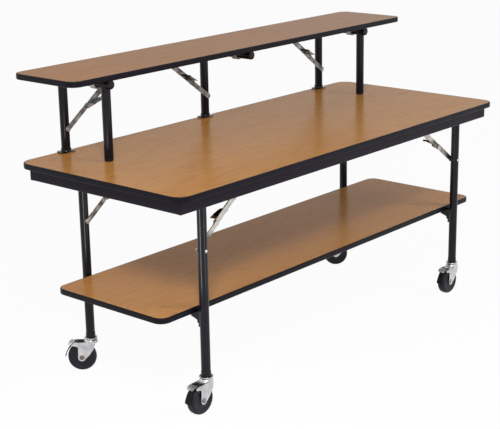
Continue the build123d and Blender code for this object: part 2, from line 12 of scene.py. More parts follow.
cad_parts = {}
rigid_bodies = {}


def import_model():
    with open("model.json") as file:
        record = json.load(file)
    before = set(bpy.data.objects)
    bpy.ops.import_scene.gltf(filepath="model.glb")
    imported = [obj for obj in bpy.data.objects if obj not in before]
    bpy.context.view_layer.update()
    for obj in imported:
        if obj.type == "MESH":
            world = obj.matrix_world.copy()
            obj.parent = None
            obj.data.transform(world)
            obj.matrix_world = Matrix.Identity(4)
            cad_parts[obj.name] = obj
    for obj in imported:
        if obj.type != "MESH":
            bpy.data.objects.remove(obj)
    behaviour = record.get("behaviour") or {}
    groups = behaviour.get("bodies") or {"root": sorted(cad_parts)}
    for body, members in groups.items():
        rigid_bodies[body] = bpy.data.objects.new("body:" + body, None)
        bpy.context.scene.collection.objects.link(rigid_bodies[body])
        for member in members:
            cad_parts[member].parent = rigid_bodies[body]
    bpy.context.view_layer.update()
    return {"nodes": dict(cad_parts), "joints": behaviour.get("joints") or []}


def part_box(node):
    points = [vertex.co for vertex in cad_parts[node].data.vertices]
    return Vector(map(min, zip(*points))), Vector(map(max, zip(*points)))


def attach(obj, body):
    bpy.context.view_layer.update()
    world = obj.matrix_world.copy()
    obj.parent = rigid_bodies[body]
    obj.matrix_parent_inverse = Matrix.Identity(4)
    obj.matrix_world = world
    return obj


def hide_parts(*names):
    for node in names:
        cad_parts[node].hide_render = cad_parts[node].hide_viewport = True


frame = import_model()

JOINTS = {joint["name"]: joint for joint in frame["joints"]}
LOG = logging.getLogger("buffet_table")
MM = 0.001
# two places closer than this, in metres, are the same
TINY = 1e-6
# millimetres in a metre: a pattern's scale is this over its size
PER_METRE = 1000
# nearly all values of a noise lie between these two
NOISE_LOW, NOISE_HIGH = 0.3, 0.7
# every tube is an inch and a quarter across; its radius in millimetres
TUBE_R = 15.875
# from a board's underside to the axis of a tube that folds below it, in millimetres
DROP = 22.0
X_AXIS, Y_AXIS, Z_AXIS = (1, 0, 0), (0, 1, 0), (0, 0, 1)
Point = Sequence[float]
Outline = list[tuple[float, float]]
Piece, Node, Tree, Socket = bpy.types.Object, bpy.types.Node, bpy.types.NodeTree, bpy.types.NodeSocket


class Element(Enum):
    """What a pick in edit mode takes hold of."""

    VERTEX = "VERT"
    EDGE = "EDGE"
    FACE = "FACE"


class End(Enum):
    """The two ends of the table's depth."""

    FRONT = "front"
    REAR = "rear"

    @property
    def inward(self) -> int:
        """The way along Y to the table's middle."""
        return 1 if self is End.FRONT else -1


class Hand(Enum):
    """The two ends of the table's length, as seen from the front."""

    LEFT = "left"
    RIGHT = "right"

    @property
    def inward(self) -> int:
        """The way along X to the table's middle."""
        return 1 if self is Hand.LEFT else -1


class LeverBlack(Enum):
    """How much of a finger lever is black: the grip is dipped vinyl, the short tip is painted shade."""

    NONE = ""
    # a short black tip on the pad: painted shade, where its underside lies in shade
    TIP = "tip"
    GRIP = "grip"


# how far the levers of the leg sets hang from their arms, in degrees
LEVER_DROOP = {Hand.LEFT: 16.0, Hand.RIGHT: 9.0}


def spot(joint: str) -> Vector:
    """Where a joint's axis passes, in metres."""
    return Vector(JOINTS[joint]["pos_m"])


def arc(middle: Point, radius: float, start: float, end: float, steps: int = 8) -> Outline:
    """Points on an arc from one angle to another, in degrees."""
    turns = (radians(start + (end - start) * i / steps) for i in range(steps + 1))
    return [(middle[0] + radius * cos(t), middle[1] + radius * sin(t)) for t in turns]


def oblong(wide: float, deep: float, corner: float) -> Outline:
    """A rounded oblong about the origin, from half its sides and the radius of its corners."""
    middles = [(x * (wide - corner), y * (deep - corner)) for x, y in ((1, 1), (-1, 1), (-1, -1), (1, -1))]
    return [point for i, middle in enumerate(middles) for point in arc(middle, corner, 90 * i, 90 * i + 90, 6)]


def in_mm(points: Iterable[Point]) -> list[tuple[float, ...]]:
    """Points written in millimetres, in metres."""
    return [tuple(value * MM for value in point) for point in points]


def linear(code: str) -> tuple[float, float, float, float]:
    """Turn an sRGB hex colour into a linear one.

    Args:
        code: six hex digits after a hash.

    Returns:
        Red, green, blue and a full alpha.
    """
    values = [int(code[i:i + 2], 16) / 255 for i in (1, 3, 5)]
    red, green, blue = (v / 12.92 if v <= 0.04045 else ((v + 0.055) / 1.055) ** 2.4 for v in values)
    return red, green, blue, 1.0


def blank(owner: bpy.types.Material | bpy.types.World) -> Tree:
    """Give a new material or world an empty node tree.

    Args:
        owner: the material or world.

    Returns:
        The tree.
    """
    owner.use_nodes = True
    owner.node_tree.nodes.clear()
    return owner.node_tree


def add_node(tree: Tree, kind: str, inputs: dict | None = None, **settings: object) -> Node:
    """Add one node, set its options, and fill or link its sockets.

    Args:
        tree: the node tree.
        kind: the node's type, as it goes on after "ShaderNode".
        inputs: socket name or number, and a value, the socket to link from, or a node whose first output is linked.
        settings: the node's own options.

    Returns:
        The node.
    """
    node = tree.nodes.new(f"ShaderNode{kind}")
    for key, value in settings.items():
        setattr(node, key, value)
    for key, value in (inputs or {}).items():
        value = value.outputs[0] if isinstance(value, Node) else value
        if isinstance(value, Socket):
            tree.links.new(value, node.inputs[key])
        else:
            node.inputs[key].default_value = value
    return node


@dataclass(frozen=True)
class Finish:
    """A finish: the name of its real material, its colour and its gloss."""

    name: str
    colour: str
    roughness: float

    def sockets(self, tree: Tree, place: Socket) -> dict:
        """The shader's inputs. Each kind of finish draws its own pattern here.

        Args:
            tree: the material's node tree.
            place: object coordinates, in metres.

        Returns:
            Input names of the shader and what they get.
        """
        raise NotImplementedError

    def material(self) -> bpy.types.Material:
        """The finish as a material.

        Returns:
            The material, made at the first call.
        """
        made = bpy.data.materials.get(self.name)
        if made:
            return made
        made = bpy.data.materials.new(self.name)
        tree = blank(made)
        place = add_node(tree, "TexCoord").outputs["Object"]
        shader = add_node(tree, "BsdfPrincipled", self.sockets(tree, place))
        add_node(tree, "OutputMaterial", {"Surface": shader})
        made.diffuse_color = linear(self.colour)
        return made


@dataclass(frozen=True)
class OakLaminate(Finish):
    """High-pressure laminate with a printed oak grain under a satin melamine face.

    The eye gets a warm golden brown with faint streaks, a few arched growth lines, short
    dark pores and a weak, soft mirror image that grows toward the far end. The side below
    is a plain brown backing sheet.
    """

    growth: str = "#9A6532"
    pore: str = "#8A5A2E"
    backing: str = "#5A4431"
    mirror: float = 0.03
    shift: tuple[float, float, float] = (0.0, 0.0, 0.0)
    streak_mm: tuple[float, float] = (420.0, 7.0)
    arch_mm: tuple[float, float] = (760.0, 120.0)
    # drawn three times coarser than oak's own pores, which would be lost at this distance
    pore_mm: tuple[float, float] = (26.0, 2.0)
    rings: float = 16.0
    # of each mark: between which values of its pattern it grows, and its full tint
    late_wood: tuple[float, float, float] = (0.6, 1.0, 0.8)
    streak: tuple[float, float, float] = (0.35, 0.7, 0.12)
    dash: tuple[float, float, float] = (0.58, 0.72, 0.5)

    def sockets(self, tree: Tree, place: Socket) -> dict:
        """Streaks, arches and pores, all drawn out along the length, and the backing.

        Args:
            tree: the material's node tree.
            place: object coordinates, in metres.

        Returns:
            Input names of the shader and what they get.
        """
        noises = []
        for size_mm, detail in ((self.streak_mm, 4.0), (self.arch_mm, 1.5), (self.pore_mm, 2.0)):
            along, across = (PER_METRE / size for size in size_mm)
            scale = (along, across, across)
            drawn = add_node(tree, "Mapping", {"Vector": place, "Location": self.shift, "Scale": scale})
            noises.append(add_node(tree, "TexNoise", {"Vector": drawn, "Scale": 1.0, "Detail": detail}))
        streaks, arches, pores = noises
        rings = add_node(tree, "Math", {0: arches, 1: self.rings}, operation="MULTIPLY")
        ring = add_node(tree, "Math", {0: rings}, operation="FRACT")
        late, streak, dash = (
            add_node(tree, "MapRange", {0: pattern, 1: low, 2: high, 3: 0.0, 4: tint})
            for pattern, (low, high, tint) in ((ring, self.late_wood), (streaks, self.streak), (pores, self.dash))
        )
        grain = add_node(tree, "Math", {0: late, 1: streaks}, operation="MULTIPLY")
        shade = add_node(tree, "Math", {0: grain, 1: streak}, operation="ADD")
        way = add_node(tree, "SeparateXYZ", {0: add_node(tree, "NewGeometry").outputs["Normal"]})
        below = add_node(tree, "Math", {0: way.outputs["Z"], 1: -0.5}, operation="LESS_THAN")
        colour = linear(self.colour)
        for share, over in ((shade, self.growth), (dash, self.pore), (below, self.backing)):
            colour = add_node(tree, "Mix", {0: share, 6: colour, 7: linear(over)}, data_type="RGBA").outputs[2]
        gloss = {0: streaks, 1: NOISE_LOW, 2: NOISE_HIGH, 3: self.roughness - 0.03, 4: self.roughness + 0.04}
        bumps = {"Height": dash, "Strength": 0.05, "Distance": 0.1 * MM}
        return {
            "Base Color": colour, "Roughness": add_node(tree, "MapRange", gloss),
            "Normal": add_node(tree, "Bump", bumps, invert=True), "Specular IOR Level": self.mirror,
        }


@dataclass(frozen=True)
class Speckled(Finish):
    """A coat or moulding whose tone, gloss and skin vary in fine spots.

    Fields beyond the shared ones: the second tone, the size of the cloudy change in tone,
    the size and depth of the skin, how strongly the face mirrors, and how far its gloss wanders.
    """

    tone: str
    cloud_mm: float
    skin_mm: float
    skin_depth: float
    mirror: float
    spread: float = 0.08

    def sockets(self, tree: Tree, place: Socket) -> dict:
        """Cloudy tone and gloss over a fine skin.

        Args:
            tree: the material's node tree.
            place: object coordinates, in metres.

        Returns:
            Input names of the shader and what they get.
        """
        clouds = {"Vector": place, "Scale": PER_METRE / self.cloud_mm, "Detail": 5.0, "Roughness": 0.6}
        cloud = add_node(tree, "TexNoise", clouds)
        skin = add_node(tree, "TexNoise", {"Vector": place, "Scale": PER_METRE / self.skin_mm, "Detail": 2.0})
        tones = {0: cloud, 6: linear(self.colour), 7: linear(self.tone)}
        low, high = self.roughness - self.spread, self.roughness + self.spread
        gloss = {0: cloud, 1: NOISE_LOW, 2: NOISE_HIGH, 3: low, 4: high}
        bumps = {"Height": skin, "Strength": self.skin_depth, "Distance": self.skin_mm * 0.1 * MM}
        return {
            "Base Color": add_node(tree, "Mix", tones, data_type="RGBA").outputs[2],
            "Roughness": add_node(tree, "MapRange", gloss), "Normal": add_node(tree, "Bump", bumps),
            "Specular IOR Level": self.mirror,
        }


@dataclass(frozen=True)
class Plated(Finish):
    """Zinc-plated pressed steel: a cloudy skin, partly passivation and partly painted reflection, with fine rolling
    lines.

    The eye gets a grey metal whose gloss wanders, with darker clouds that partly stand in for dark surroundings
    mirrored in the metal.
    """

    # the clouds' darker tone, partly passivation and partly painted reflection
    tone: str
    metallic: float = 1.0
    cloud_mm: float = 34.0
    line_mm: float = 1.4
    depth: float = 0.12

    def sockets(self, tree: Tree, place: Socket) -> dict:
        """Clouds that are partly passivation and partly painted reflection, and fine lines in the plating.

        Args:
            tree: the material's node tree.
            place: object coordinates, in metres.

        Returns:
            Input names of the shader and what they get.
        """
        clouds = {"Vector": place, "Scale": PER_METRE / self.cloud_mm, "Detail": 2.5, "Roughness": 0.5}
        cloud = add_node(tree, "TexNoise", clouds)
        run = add_node(tree, "Mapping", {"Vector": place, "Scale": (0.12, 1.0, 1.0)})
        lines = add_node(tree, "TexNoise", {"Vector": run, "Scale": PER_METRE / self.line_mm, "Detail": 3.0})
        # where the darker tone shows: passivation clouds, and painted reflection of dark surroundings
        passivation_and_reflection = add_node(tree, "MapRange", {0: cloud, 1: 0.36, 2: 0.66, 3: 0.0, 4: 1.0})
        tones = {0: passivation_and_reflection, 6: linear(self.colour), 7: linear(self.tone)}
        gloss = {0: cloud, 1: NOISE_LOW, 2: NOISE_HIGH, 3: self.roughness - 0.08, 4: self.roughness + 0.12}
        bumps = {"Height": lines, "Strength": self.depth, "Distance": self.line_mm * 0.05 * MM}
        return {
            "Base Color": add_node(tree, "Mix", tones, data_type="RGBA").outputs[2],
            "Roughness": add_node(tree, "MapRange", gloss), "Normal": add_node(tree, "Bump", bumps),
            "Metallic": self.metallic,
        }


# printed oak under satin melamine: golden brown; the three boards are one laminate, and the shelf's and the riser's
# copies are painted darker than the top's, painted shade, the riser's most
TOP_OAK = OakLaminate("oak print laminate, table top", "#B88143", 0.24)
SHELF_OAK = OakLaminate("oak print laminate, under-shelf", "#B57F46", 0.24, mirror=0.038, shift=(3.7, 11.3, 0.0))
# the riser's colour, growth lines and pores are painted darker: painted shade against the key lamp's nearer light
RISER_OAK = OakLaminate(
    "oak print laminate, riser", "#A36B2D", 0.2, growth="#85511F", pore="#77481D", mirror=0.012, shift=(8.1, 5.9, 0.0),
)
# extruded vinyl: a soft sheen with a faint leathery skin, a purplish black
BAND_VINYL = Speckled(
    "black vinyl edge moulding", "#08060E", 0.42, "#0C0912", cloud_mm=90.0, skin_mm=1.6, skin_depth=0.12, mirror=0.13,
)
# baked enamel on folded sheet: purplish charcoal, smooth, with a slight orange peel
APRON_ENAMEL = Speckled(
    "charcoal enamel on sheet steel", "#0D0713", 0.4, "#130B18", cloud_mm=140.0, skin_mm=3.0, skin_depth=0.08,
    mirror=0.13,
)
# gloss powder coat on tube: deep black with sharp streaks of light
TUBE_POWDER = Speckled(
    "gloss black powder coat", "#0B0A0F", 0.17, "#110F16", cloud_mm=50.0, skin_mm=4.0, skin_depth=0.05, mirror=0.22,
    spread=0.03,
)
# zinc on pressed steel: a warm satin grey with brownish clouds, partly passivation and partly painted reflection
BRACE_ZINC = Plated("zinc plate on pressed steel", "#D0CDC6", 0.36, "#72695F")
# the same zinc plate, rougher and less metallic, its colour painted darker than on the table's braces: painted shade
# for the riser's braces, saddles and anchors, which the brake treads share; its dim grey clouds are partly painted
# reflection
DULL_SHADED_ZINC = Plated("dull zinc plate on riser braces, painted darker for shade", "#B8B8B8", 0.52, "#6F6C6B", metallic=0.75)
# bright zinc with a clear passivate: nearly chrome, a little milky
CASTER_ZINC = Plated(
    "bright zinc plate on caster steel", "#D3D1D4", 0.3, "#B4B2B4", cloud_mm=26.0, line_mm=2.0, depth=0.06,
)
# hard rubber: dull, slightly dusty
WHEEL_RUBBER = Speckled(
    "hard black rubber", "#17171D", 0.5, "#1E1E24", cloud_mm=18.0, skin_mm=1.0, skin_depth=0.2, mirror=0.2,
)
# phenolic core: smooth and slightly glossier than the tyre
WHEEL_CORE = Speckled(
    "moulded black phenolic", "#16161C", 0.4, "#1D1D23", cloud_mm=25.0, skin_mm=2.0, skin_depth=0.05, mirror=0.2,
)
# plastic dip: dull black with a soft edge of light; as the short tips on the riser's levers the same black is painted
# shade
VINYL_AND_SHADE_BLACK = Speckled(
    "dipped black vinyl, and painted shade on riser lever tips", "#0B0B10", 0.6, "#121217", cloud_mm=12.0, skin_mm=1.2, skin_depth=0.1, mirror=0.05,
)
# nylon: matt black with a fine moulded grain
GLIDE_NYLON = Speckled(
    "moulded black nylon", "#131317", 0.45, "#1B1B20", cloud_mm=14.0, skin_mm=0.8, skin_depth=0.15, mirror=0.2,
)
# black oxide on spring steel: nearly black, a dull metal sheen
BRAKE_STEEL = Speckled(
    "black oxide on spring steel", "#121216", 0.55, "#1C1C20", cloud_mm=14.0, skin_mm=1.2, skin_depth=0.1, mirror=0.08,
)


class Bench:
    """The hand moves that the pieces are made with, in edit mode and by modifiers."""

    @staticmethod
    def clear() -> None:
        """Leave edit mode and select nothing."""
        if bpy.context.object and bpy.context.object.mode != "OBJECT":
            bpy.ops.object.mode_set(mode="OBJECT")
        bpy.ops.object.select_all(action="DESELECT")

    @staticmethod
    def start(add: Callable, name: str, **settings: object) -> Piece:
        """Add a primitive and open it for editing, all selected.

        Args:
            add: the operator that adds it.
            name: the piece's name.
            settings: the operator's own settings.

        Returns:
            The new piece, with its place in its mesh.
        """
        Bench.clear()
        add(**settings)
        bpy.ops.object.transform_apply(location=True, rotation=True, scale=True)
        piece = bpy.context.object
        piece.name = piece.data.name = name
        bpy.ops.object.mode_set(mode="EDIT")
        bpy.ops.mesh.select_mode(type="VERT")
        bpy.ops.mesh.select_all(action="SELECT")
        return piece

    @staticmethod
    def pick(piece: Piece, kind: Element, want: Callable[[Vector, Vector], bool]) -> None:
        """Select the elements that pass a test of their middle and their direction.

        Args:
            piece: the piece in edit mode.
            kind: vertices, edges or faces.
            want: the test, given the middle, and the normal or, of an edge, its run.
        """
        bpy.ops.mesh.select_mode(type=kind.value)
        bpy.ops.mesh.select_all(action="DESELECT")
        mesh = bmesh.from_edit_mesh(piece.data)
        if kind is Element.VERTEX:
            found = [(v, v.co, v.normal) for v in mesh.verts]
        elif kind is Element.EDGE:
            ends = [(e, *(v.co for v in e.verts)) for e in mesh.edges]
            found = [(e, (one + two) / 2, two - one) for e, one, two in ends]
        else:
            found = [(f, f.calc_center_median(), f.normal) for f in mesh.faces]
        for element, middle, way in found:
            if want(middle, way):
                element.select_set(True)
        mesh.select_flush_mode()
        bmesh.update_edit_mesh(piece.data)

    @staticmethod
    def push(offset: Point) -> None:
        """Extrude what is selected by an offset, in metres."""
        bpy.ops.mesh.extrude_region_move(TRANSFORM_OT_translate={"value": Vector(offset)})

    @staticmethod
    def bevel(kind: Element, width: float, segments: int) -> None:
        """Round the selected edges, or the selected corners of a sheet, by a width in metres."""
        affect = "VERTICES" if kind is Element.VERTEX else "EDGES"
        bpy.ops.mesh.bevel(offset=width, segments=segments, affect=affect, profile=0.5)

    @staticmethod
    def press(piece: Piece, side: int, rim: float, depth: float) -> None:
        """Press a hollow into one face of a plate that stands across Y.

        Args:
            piece: the plate in edit mode.
            side: the way along Y that the face looks.
            rim: what stays of the face round the hollow, in millimetres.
            depth: how deep the hollow is, in millimetres.
        """
        Bench.pick(piece, Element.FACE, lambda at, way: way.y * side > 0.9)
        bpy.ops.mesh.inset(thickness=rim * MM)
        Bench.push((0, 0, 0))
        bpy.ops.transform.translate(value=(0, -side * depth * MM, 0))

    @staticmethod
    def face_out() -> None:
        """Merge doubles and turn every face outwards."""
        bpy.ops.mesh.select_all(action="SELECT")
        bpy.ops.mesh.remove_doubles(threshold=0.002 * MM)
        bpy.ops.mesh.normals_make_consistent(inside=False)

    @staticmethod
    def chain(name: str, points: Sequence[Point]) -> Piece:
        """Draw a line of vertices, one extruded from the other, all selected.

        Args:
            name: the piece's name.
            points: the vertices, in metres.

        Returns:
            The piece in edit mode.
        """
        piece = Bench.start(bpy.ops.mesh.primitive_plane_add, name, size=MM)
        bpy.ops.mesh.merge(type="CENTER")
        bpy.ops.transform.translate(value=Vector(points[0]))
        for before, after in zip(points, points[1:]):
            bpy.ops.mesh.extrude_vertices_move(TRANSFORM_OT_translate={"value": Vector(after) - Vector(before)})
        bpy.ops.mesh.select_all(action="SELECT")
        return piece

    @staticmethod
    def turn(
        name: str, profile: Sequence[Point], foot: Point, axis: Point = Z_AXIS,
        steps: int = 40, smooth: float = 35.0, bevel: float = 0.0,
    ) -> Piece:
        """Spin a profile about an axis to a finished piece, all in millimetres.

        Args:
            name: the piece's name.
            profile: pairs of radius and distance along the axis.
            foot: where the axis starts.
            axis: its direction.
            steps: how many faces go round.
            smooth: edges up to this many degrees are shaded smooth.
            bevel: the width of the rounding of its sharp edges.

        Returns:
            The piece.
        """
        foot, axis = Vector(foot) * MM, Vector(axis).normalized()
        aside = axis.orthogonal().normalized()
        piece = Bench.chain(name, [foot + aside * r + axis * a for r, a in in_mm(profile)])
        bpy.ops.mesh.spin(steps=steps, angle=2 * pi, center=foot, axis=axis)
        Bench.face_out()
        return Bench.close(piece, bevel, smooth=smooth)

    @staticmethod
    def plate(name: str, outline: Iterable[Point], thick: Point) -> Piece:
        """Fill an outline and extrude it to a plate, in millimetres.

        Args:
            name: the plate's name.
            outline: its corners.
            thick: from this face to the other one.

        Returns:
            The plate in edit mode.
        """
        piece = Bench.chain(name, in_mm(outline))
        bpy.ops.mesh.edge_face_add()
        Bench.push(Vector(thick) * MM)
        Bench.face_out()
        return piece

    @staticmethod
    def close(piece: Piece, bevel: float = 0.0, segments: int = 2, smooth: float = 12.0) -> Piece:
        """Leave edit mode, round the edges over 30 degrees and smooth the shallow ones.

        Args:
            piece: the piece.
            bevel: the width of the rounding, in millimetres.
            segments: the faces across it.
            smooth: edges up to this many degrees are shaded smooth.

        Returns:
            The piece.
        """
        bpy.ops.object.mode_set(mode="OBJECT")
        if bevel:
            rounding = piece.modifiers.new("rounding", "BEVEL")
            rounding.width, rounding.segments = bevel * MM, segments
            rounding.limit_method, rounding.angle_limit = "ANGLE", radians(30.0)
            bpy.ops.object.modifier_apply(modifier="rounding")
        bpy.ops.object.shade_smooth_by_angle(angle=radians(smooth))
        return piece

    @staticmethod
    def thicken(piece: Piece, wall: float) -> None:
        """Give a sheet a wall, half to each side, and go on editing.

        Args:
            piece: the sheet in edit mode.
            wall: how thick it gets, in metres.
        """
        bpy.ops.mesh.select_all(action="SELECT")
        bpy.ops.mesh.normals_make_consistent(inside=False)
        bpy.ops.object.mode_set(mode="OBJECT")
        sheet = piece.modifiers.new("wall", "SOLIDIFY")
        sheet.thickness, sheet.offset, sheet.use_even_offset = wall, 0.0, True
        bpy.ops.object.modifier_apply(modifier="wall")
        bpy.ops.object.mode_set(mode="EDIT")

    @staticmethod
    def copy(piece: Piece, name: str, move: Matrix) -> Piece:
        """Copy a piece with a mesh of its own.

        Args:
            piece: what is copied.
            name: the copy's name.
            move: from the piece's place to the copy's.

        Returns:
            The copy, with its place in its mesh.
        """
        Bench.clear()
        twin = piece.copy()
        twin.data = piece.data.copy()
        twin.name = twin.data.name = name
        bpy.context.scene.collection.objects.link(twin)
        twin.data.transform(move)
        if move.determinant() < 0:
            twin.data.flip_normals()
        return twin

    @staticmethod
    def join(name: str, pieces: Sequence[Piece]) -> Piece:
        """Join pieces into one object.

        Args:
            name: the object's name.
            pieces: what it is made of.

        Returns:
            The object.
        """
        Bench.clear()
        for piece in pieces:
            piece.select_set(True)
        bpy.context.view_layer.objects.active = pieces[0]
        if len(pieces) > 1:
            bpy.ops.object.join()
        joined = bpy.context.object
        joined.name = joined.data.name = name
        return joined

    @staticmethod
    def scatter(pattern: Piece, name: str, places: Iterable[Matrix]) -> Piece:
        """Copy a pattern to some places and join the copies; the pattern goes away.

        Args:
            pattern: what is copied.
            name: the name of the whole.
            places: from the pattern to each copy.

        Returns:
            The joined copies.
        """
        parts = [Bench.copy(pattern, "part", place) for place in places]
        bpy.data.meshes.remove(pattern.data)
        return Bench.join(name, parts)


def dress(piece: Piece, finish: Finish) -> None:
    """Give a piece one finish all over."""
    piece.data.materials.clear()
    piece.data.materials.append(finish.material())


def fit(piece: Piece, finish: Finish, body: str, node: str) -> None:
    """Dress a piece, put it on its body and let it stand for its CAD node.

    Args:
        piece: the finished mesh.
        finish: what it is dressed in.
        body: the CAD body that carries it.
        node: the CAD node that it stands for.
    """
    dress(piece, finish)
    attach(piece, body)
    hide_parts(node)
    LOG.info("%s on %s: %d faces, %s", piece.name, body, len(piece.data.polygons), finish.name)


@dataclass
class Panel:
    """A laminated board with a vinyl band pressed on round its edge, in metres."""

    name: str
    body: str
    corner: float
    oak: OakLaminate
    band: float = 4.4 * MM
    rounding: float = 3.3 * MM

    def inset(self, at: Vector, low: Vector, high: Vector) -> float:
        """How far inside the rounded outline a point lies.

        Args:
            at: the point.
            low: the lower corner of the band's box.
            high: the upper one.

        Returns:
            The distance, in metres.
        """
        middle, half = (low + high) / 2, (high - low) / 2
        over = [abs(at[i] - middle[i]) - (half[i] - self.corner) for i in (0, 1)]
        return self.corner - hypot(*(max(v, 0.0) for v in over)) - min(max(over), 0.0)

    def build(self) -> None:
        """Make the band round the CAD board, and dress both."""
        node, board = f"{self.name}_edge_band", f"{self.name}_board"
        low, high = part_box(node)
        size, foot = high - low, ((low.x + high.x) / 2, (low.y + high.y) / 2, low.z)
        piece = Bench.start(bpy.ops.mesh.primitive_plane_add, f"{self.name}_band", size=1.0, location=foot)
        bpy.ops.transform.resize(value=(size.x - self.band, size.y - self.band, 1.0), center_override=foot)
        Bench.bevel(Element.VERTEX, self.corner - self.band / 2, 14)
        bpy.ops.mesh.delete(type="ONLY_FACE")
        bpy.ops.mesh.select_all(action="SELECT")
        Bench.push((0.0, 0.0, size.z))
        Bench.face_out()
        Bench.thicken(piece, self.band)

        def outer_rim(at: Vector, run: Vector) -> bool:
            """Whether an edge runs round the outside, above or below."""
            level = abs(run.z) < TINY and min(at.z - low.z, high.z - at.z) < TINY
            return level and self.inset(at, low, high) < MM

        Bench.pick(piece, Element.EDGE, outer_rim)
        Bench.bevel(Element.EDGE, self.rounding, 6)
        fit(Bench.close(piece, smooth=24.0), BAND_VINYL, self.body, node)
        dress(frame["nodes"][board], self.oak)
        LOG.info("%s keeps its CAD shape, %s", board, self.oak.name)


@dataclass
class Apron:
    """Four folded rails under the top: long ones over the whole length, short ones between. In metres."""

    sheet: float = 1.6 * MM
    flange: float = 24.0 * MM
    hem: float = 10.0 * MM
    fold: float = 3.0 * MM
    end_gap: float = 2.0 * MM

    def rail(self, start: Vector, run: Vector, inward: Vector, height: float, back: float) -> Piece:
        """One rail, drawn as its cross-section and extruded along its run.

        Args:
            start: the lower outer corner at one end.
            run: along the rail.
            inward: unit vector toward the table's middle.
            height: the rail's height.
            back: how far flange and hem stand back at both ends.

        Returns:
            The rail.
        """
        start, along = start + (inward + Vector(Z_AXIS)) * self.sheet / 2, run.normalized()
        up, lift, half = Vector((0, 0, height - self.sheet)), self.hem / 2, run.length / 2
        piece = Bench.chain(
            "rail", [start + inward * self.hem, start, start + up, start + up + inward * self.flange],
        )
        Bench.push(run)
        for side in (1, -1):
            Bench.pick(
                piece, Element.VERTEX,
                lambda at, way: (at - start).dot(inward) > lift and ((at - start).dot(along) - half) * side < 0,
            )
            bpy.ops.transform.translate(value=along * back * side)
        Bench.pick(
            piece, Element.EDGE,
            lambda at, way: abs(way.dot(along)) > run.length * 0.9 and (at - start).dot(inward) < lift / 2,
        )
        Bench.bevel(Element.EDGE, self.fold, 4)
        Bench.thicken(piece, self.sheet)
        return Bench.close(piece, smooth=30.0)

    def build(self) -> None:
        """Make both pairs of rails."""
        low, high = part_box("apron_side_rails")
        height = high.z - low.z
        pairs = (("long", "apron_side_rails", 0, self.end_gap), ("short", "apron_end_rails", 1, self.flange))
        for name, node, axis, back in pairs:
            low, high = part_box(node)
            run, inward, far, across = Vector(), Vector(), low.copy(), 1 - axis
            run[axis], inward[across], far[across] = high[axis] - low[axis], 1.0, high[across]
            rails = [self.rail(low, run, inward, height, back), self.rail(far, run, -inward, height, back)]
            fit(Bench.join(f"apron_{name}_rails", rails), APRON_ENAMEL, "table", node)


@dataclass
class LegSet:
    """Two tube legs, the cross tube that they fold about, and the upper halves of their casters, in millimetres."""

    hand: Hand
    tube_r: float = TUBE_R
    foot: float = 127.0
    crown: float = 3.3
    collar_r: float = 16.9
    collar_foot: float = 123.7
    collar: float = 14.0
    stud_r: float = 6.0
    stud_clear: float = 2.5

    def tube(self, name: str, foot: Point, axis: Point, length: float) -> Piece:
        """A tube with rounded rims, closed at both ends.

        Args:
            name: the tube's name.
            foot: the middle of its first end.
            axis: its direction.
            length: how long it is.

        Returns:
            The tube.
        """
        r, c = self.tube_r, self.crown
        profile = [(0, 0), (r - 0.8, 0), (r, 0.8), *arc((r - c, length - c), c, 0, 90, 5), (0, length)]
        return Bench.turn(name, profile, foot, axis, steps=56, smooth=32.0)

    def stem(self, name: str, x: float, y: float) -> None:
        """Fit the collar round a leg's foot, and the race and king pin below it.

        Args:
            name: the caster's name.
            x: where the leg stands along the table.
            y: where it stands across it.
        """
        # heights are above the floor
        low, top, r, bore = self.collar_foot, self.foot + self.collar, self.collar_r, self.tube_r - 1
        rim = [(bore, low), (r - 0.6, low), (r, low + 0.6), (r, top - 2.2)]
        rim += [*arc((r - 1.6, top - 1.6), 1.6, 0, 90, 4), (bore, top), (bore, low)]
        race = [(0, 102), (8.7, 102), (9.5, 102.8), (9.5, 105), (6, 105.6), (6, 120.1), (23, 120.1)]
        race += [*arc((22.2, 121.9), 1.8, -80, 90, 6), (20.2, 122.9), (0, 122.9)]
        legs, stems = f"{self.hand.value}_legs", f"{self.hand.value}_caster_stems"
        fit(Bench.turn(f"{name}_collar", rim, (x, y, 0)), TUBE_POWDER, legs, stems)
        fit(Bench.turn(f"{name}_race", race, (x, y, 0)), CASTER_ZINC, legs, stems)

    def build(self) -> None:
        """Make the tubes, the studs for the shelf and the caster stems."""
        hand, body = self.hand.value, f"{self.hand.value}_legs"
        pivot, r = spot(f"{hand}_legs_fold") / MM, self.stud_r
        ends = {end: spot(f"{end.value}_{hand}_swivel") / MM for end in End}
        studs, stud_z = [], sum(corner.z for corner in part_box(f"{hand}_shelf_studs")) / 2 / MM
        edges = dict(zip(End, (corner.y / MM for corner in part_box("shelf_edge_band"))))
        height = pivot.z + self.tube_r - self.foot
        for end, at in ends.items():
            name = f"{hand}_{end.value}"
            leg = self.tube(f"{name}_leg_tube", (at.x, at.y, self.foot), Z_AXIS, height)
            fit(leg, TUBE_POWDER, body, f"{name}_leg")
            self.stem(f"{name}_caster", at.x, at.y)
            root = at.y + end.inward * (self.tube_r - 0.6)
            tip = abs(edges[end] - root) - self.stud_clear
            shape = [(0, 0), (r, 0), (r, tip - 1.2), (r - 1.2, tip), (0, tip)]
            face = (at.x, root, stud_z)
            studs.append(Bench.turn("stud", shape, face, (0, end.inward, 0), steps=28, smooth=25.0))
        pair = Bench.join(f"{hand}_shelf_stud_pair", studs)
        fit(pair, TUBE_POWDER, body, f"{hand}_shelf_studs")
        front, rear = ends[End.FRONT].y, ends[End.REAR].y
        cross = self.tube(f"{hand}_pivot_tube", (pivot.x, front, pivot.z), Y_AXIS, rear - front)
        fit(cross, TUBE_POWDER, body, f"{hand}_cross_tube")


class Kit:
    """Pieces that are modelled once and copied to their places."""

    patterns: dict[str, Piece]

    def sweep(self) -> None:
        """Put the patterns away once all copies are made."""
        Bench.clear()
        for piece in self.patterns.values():
            bpy.data.meshes.remove(piece.data)


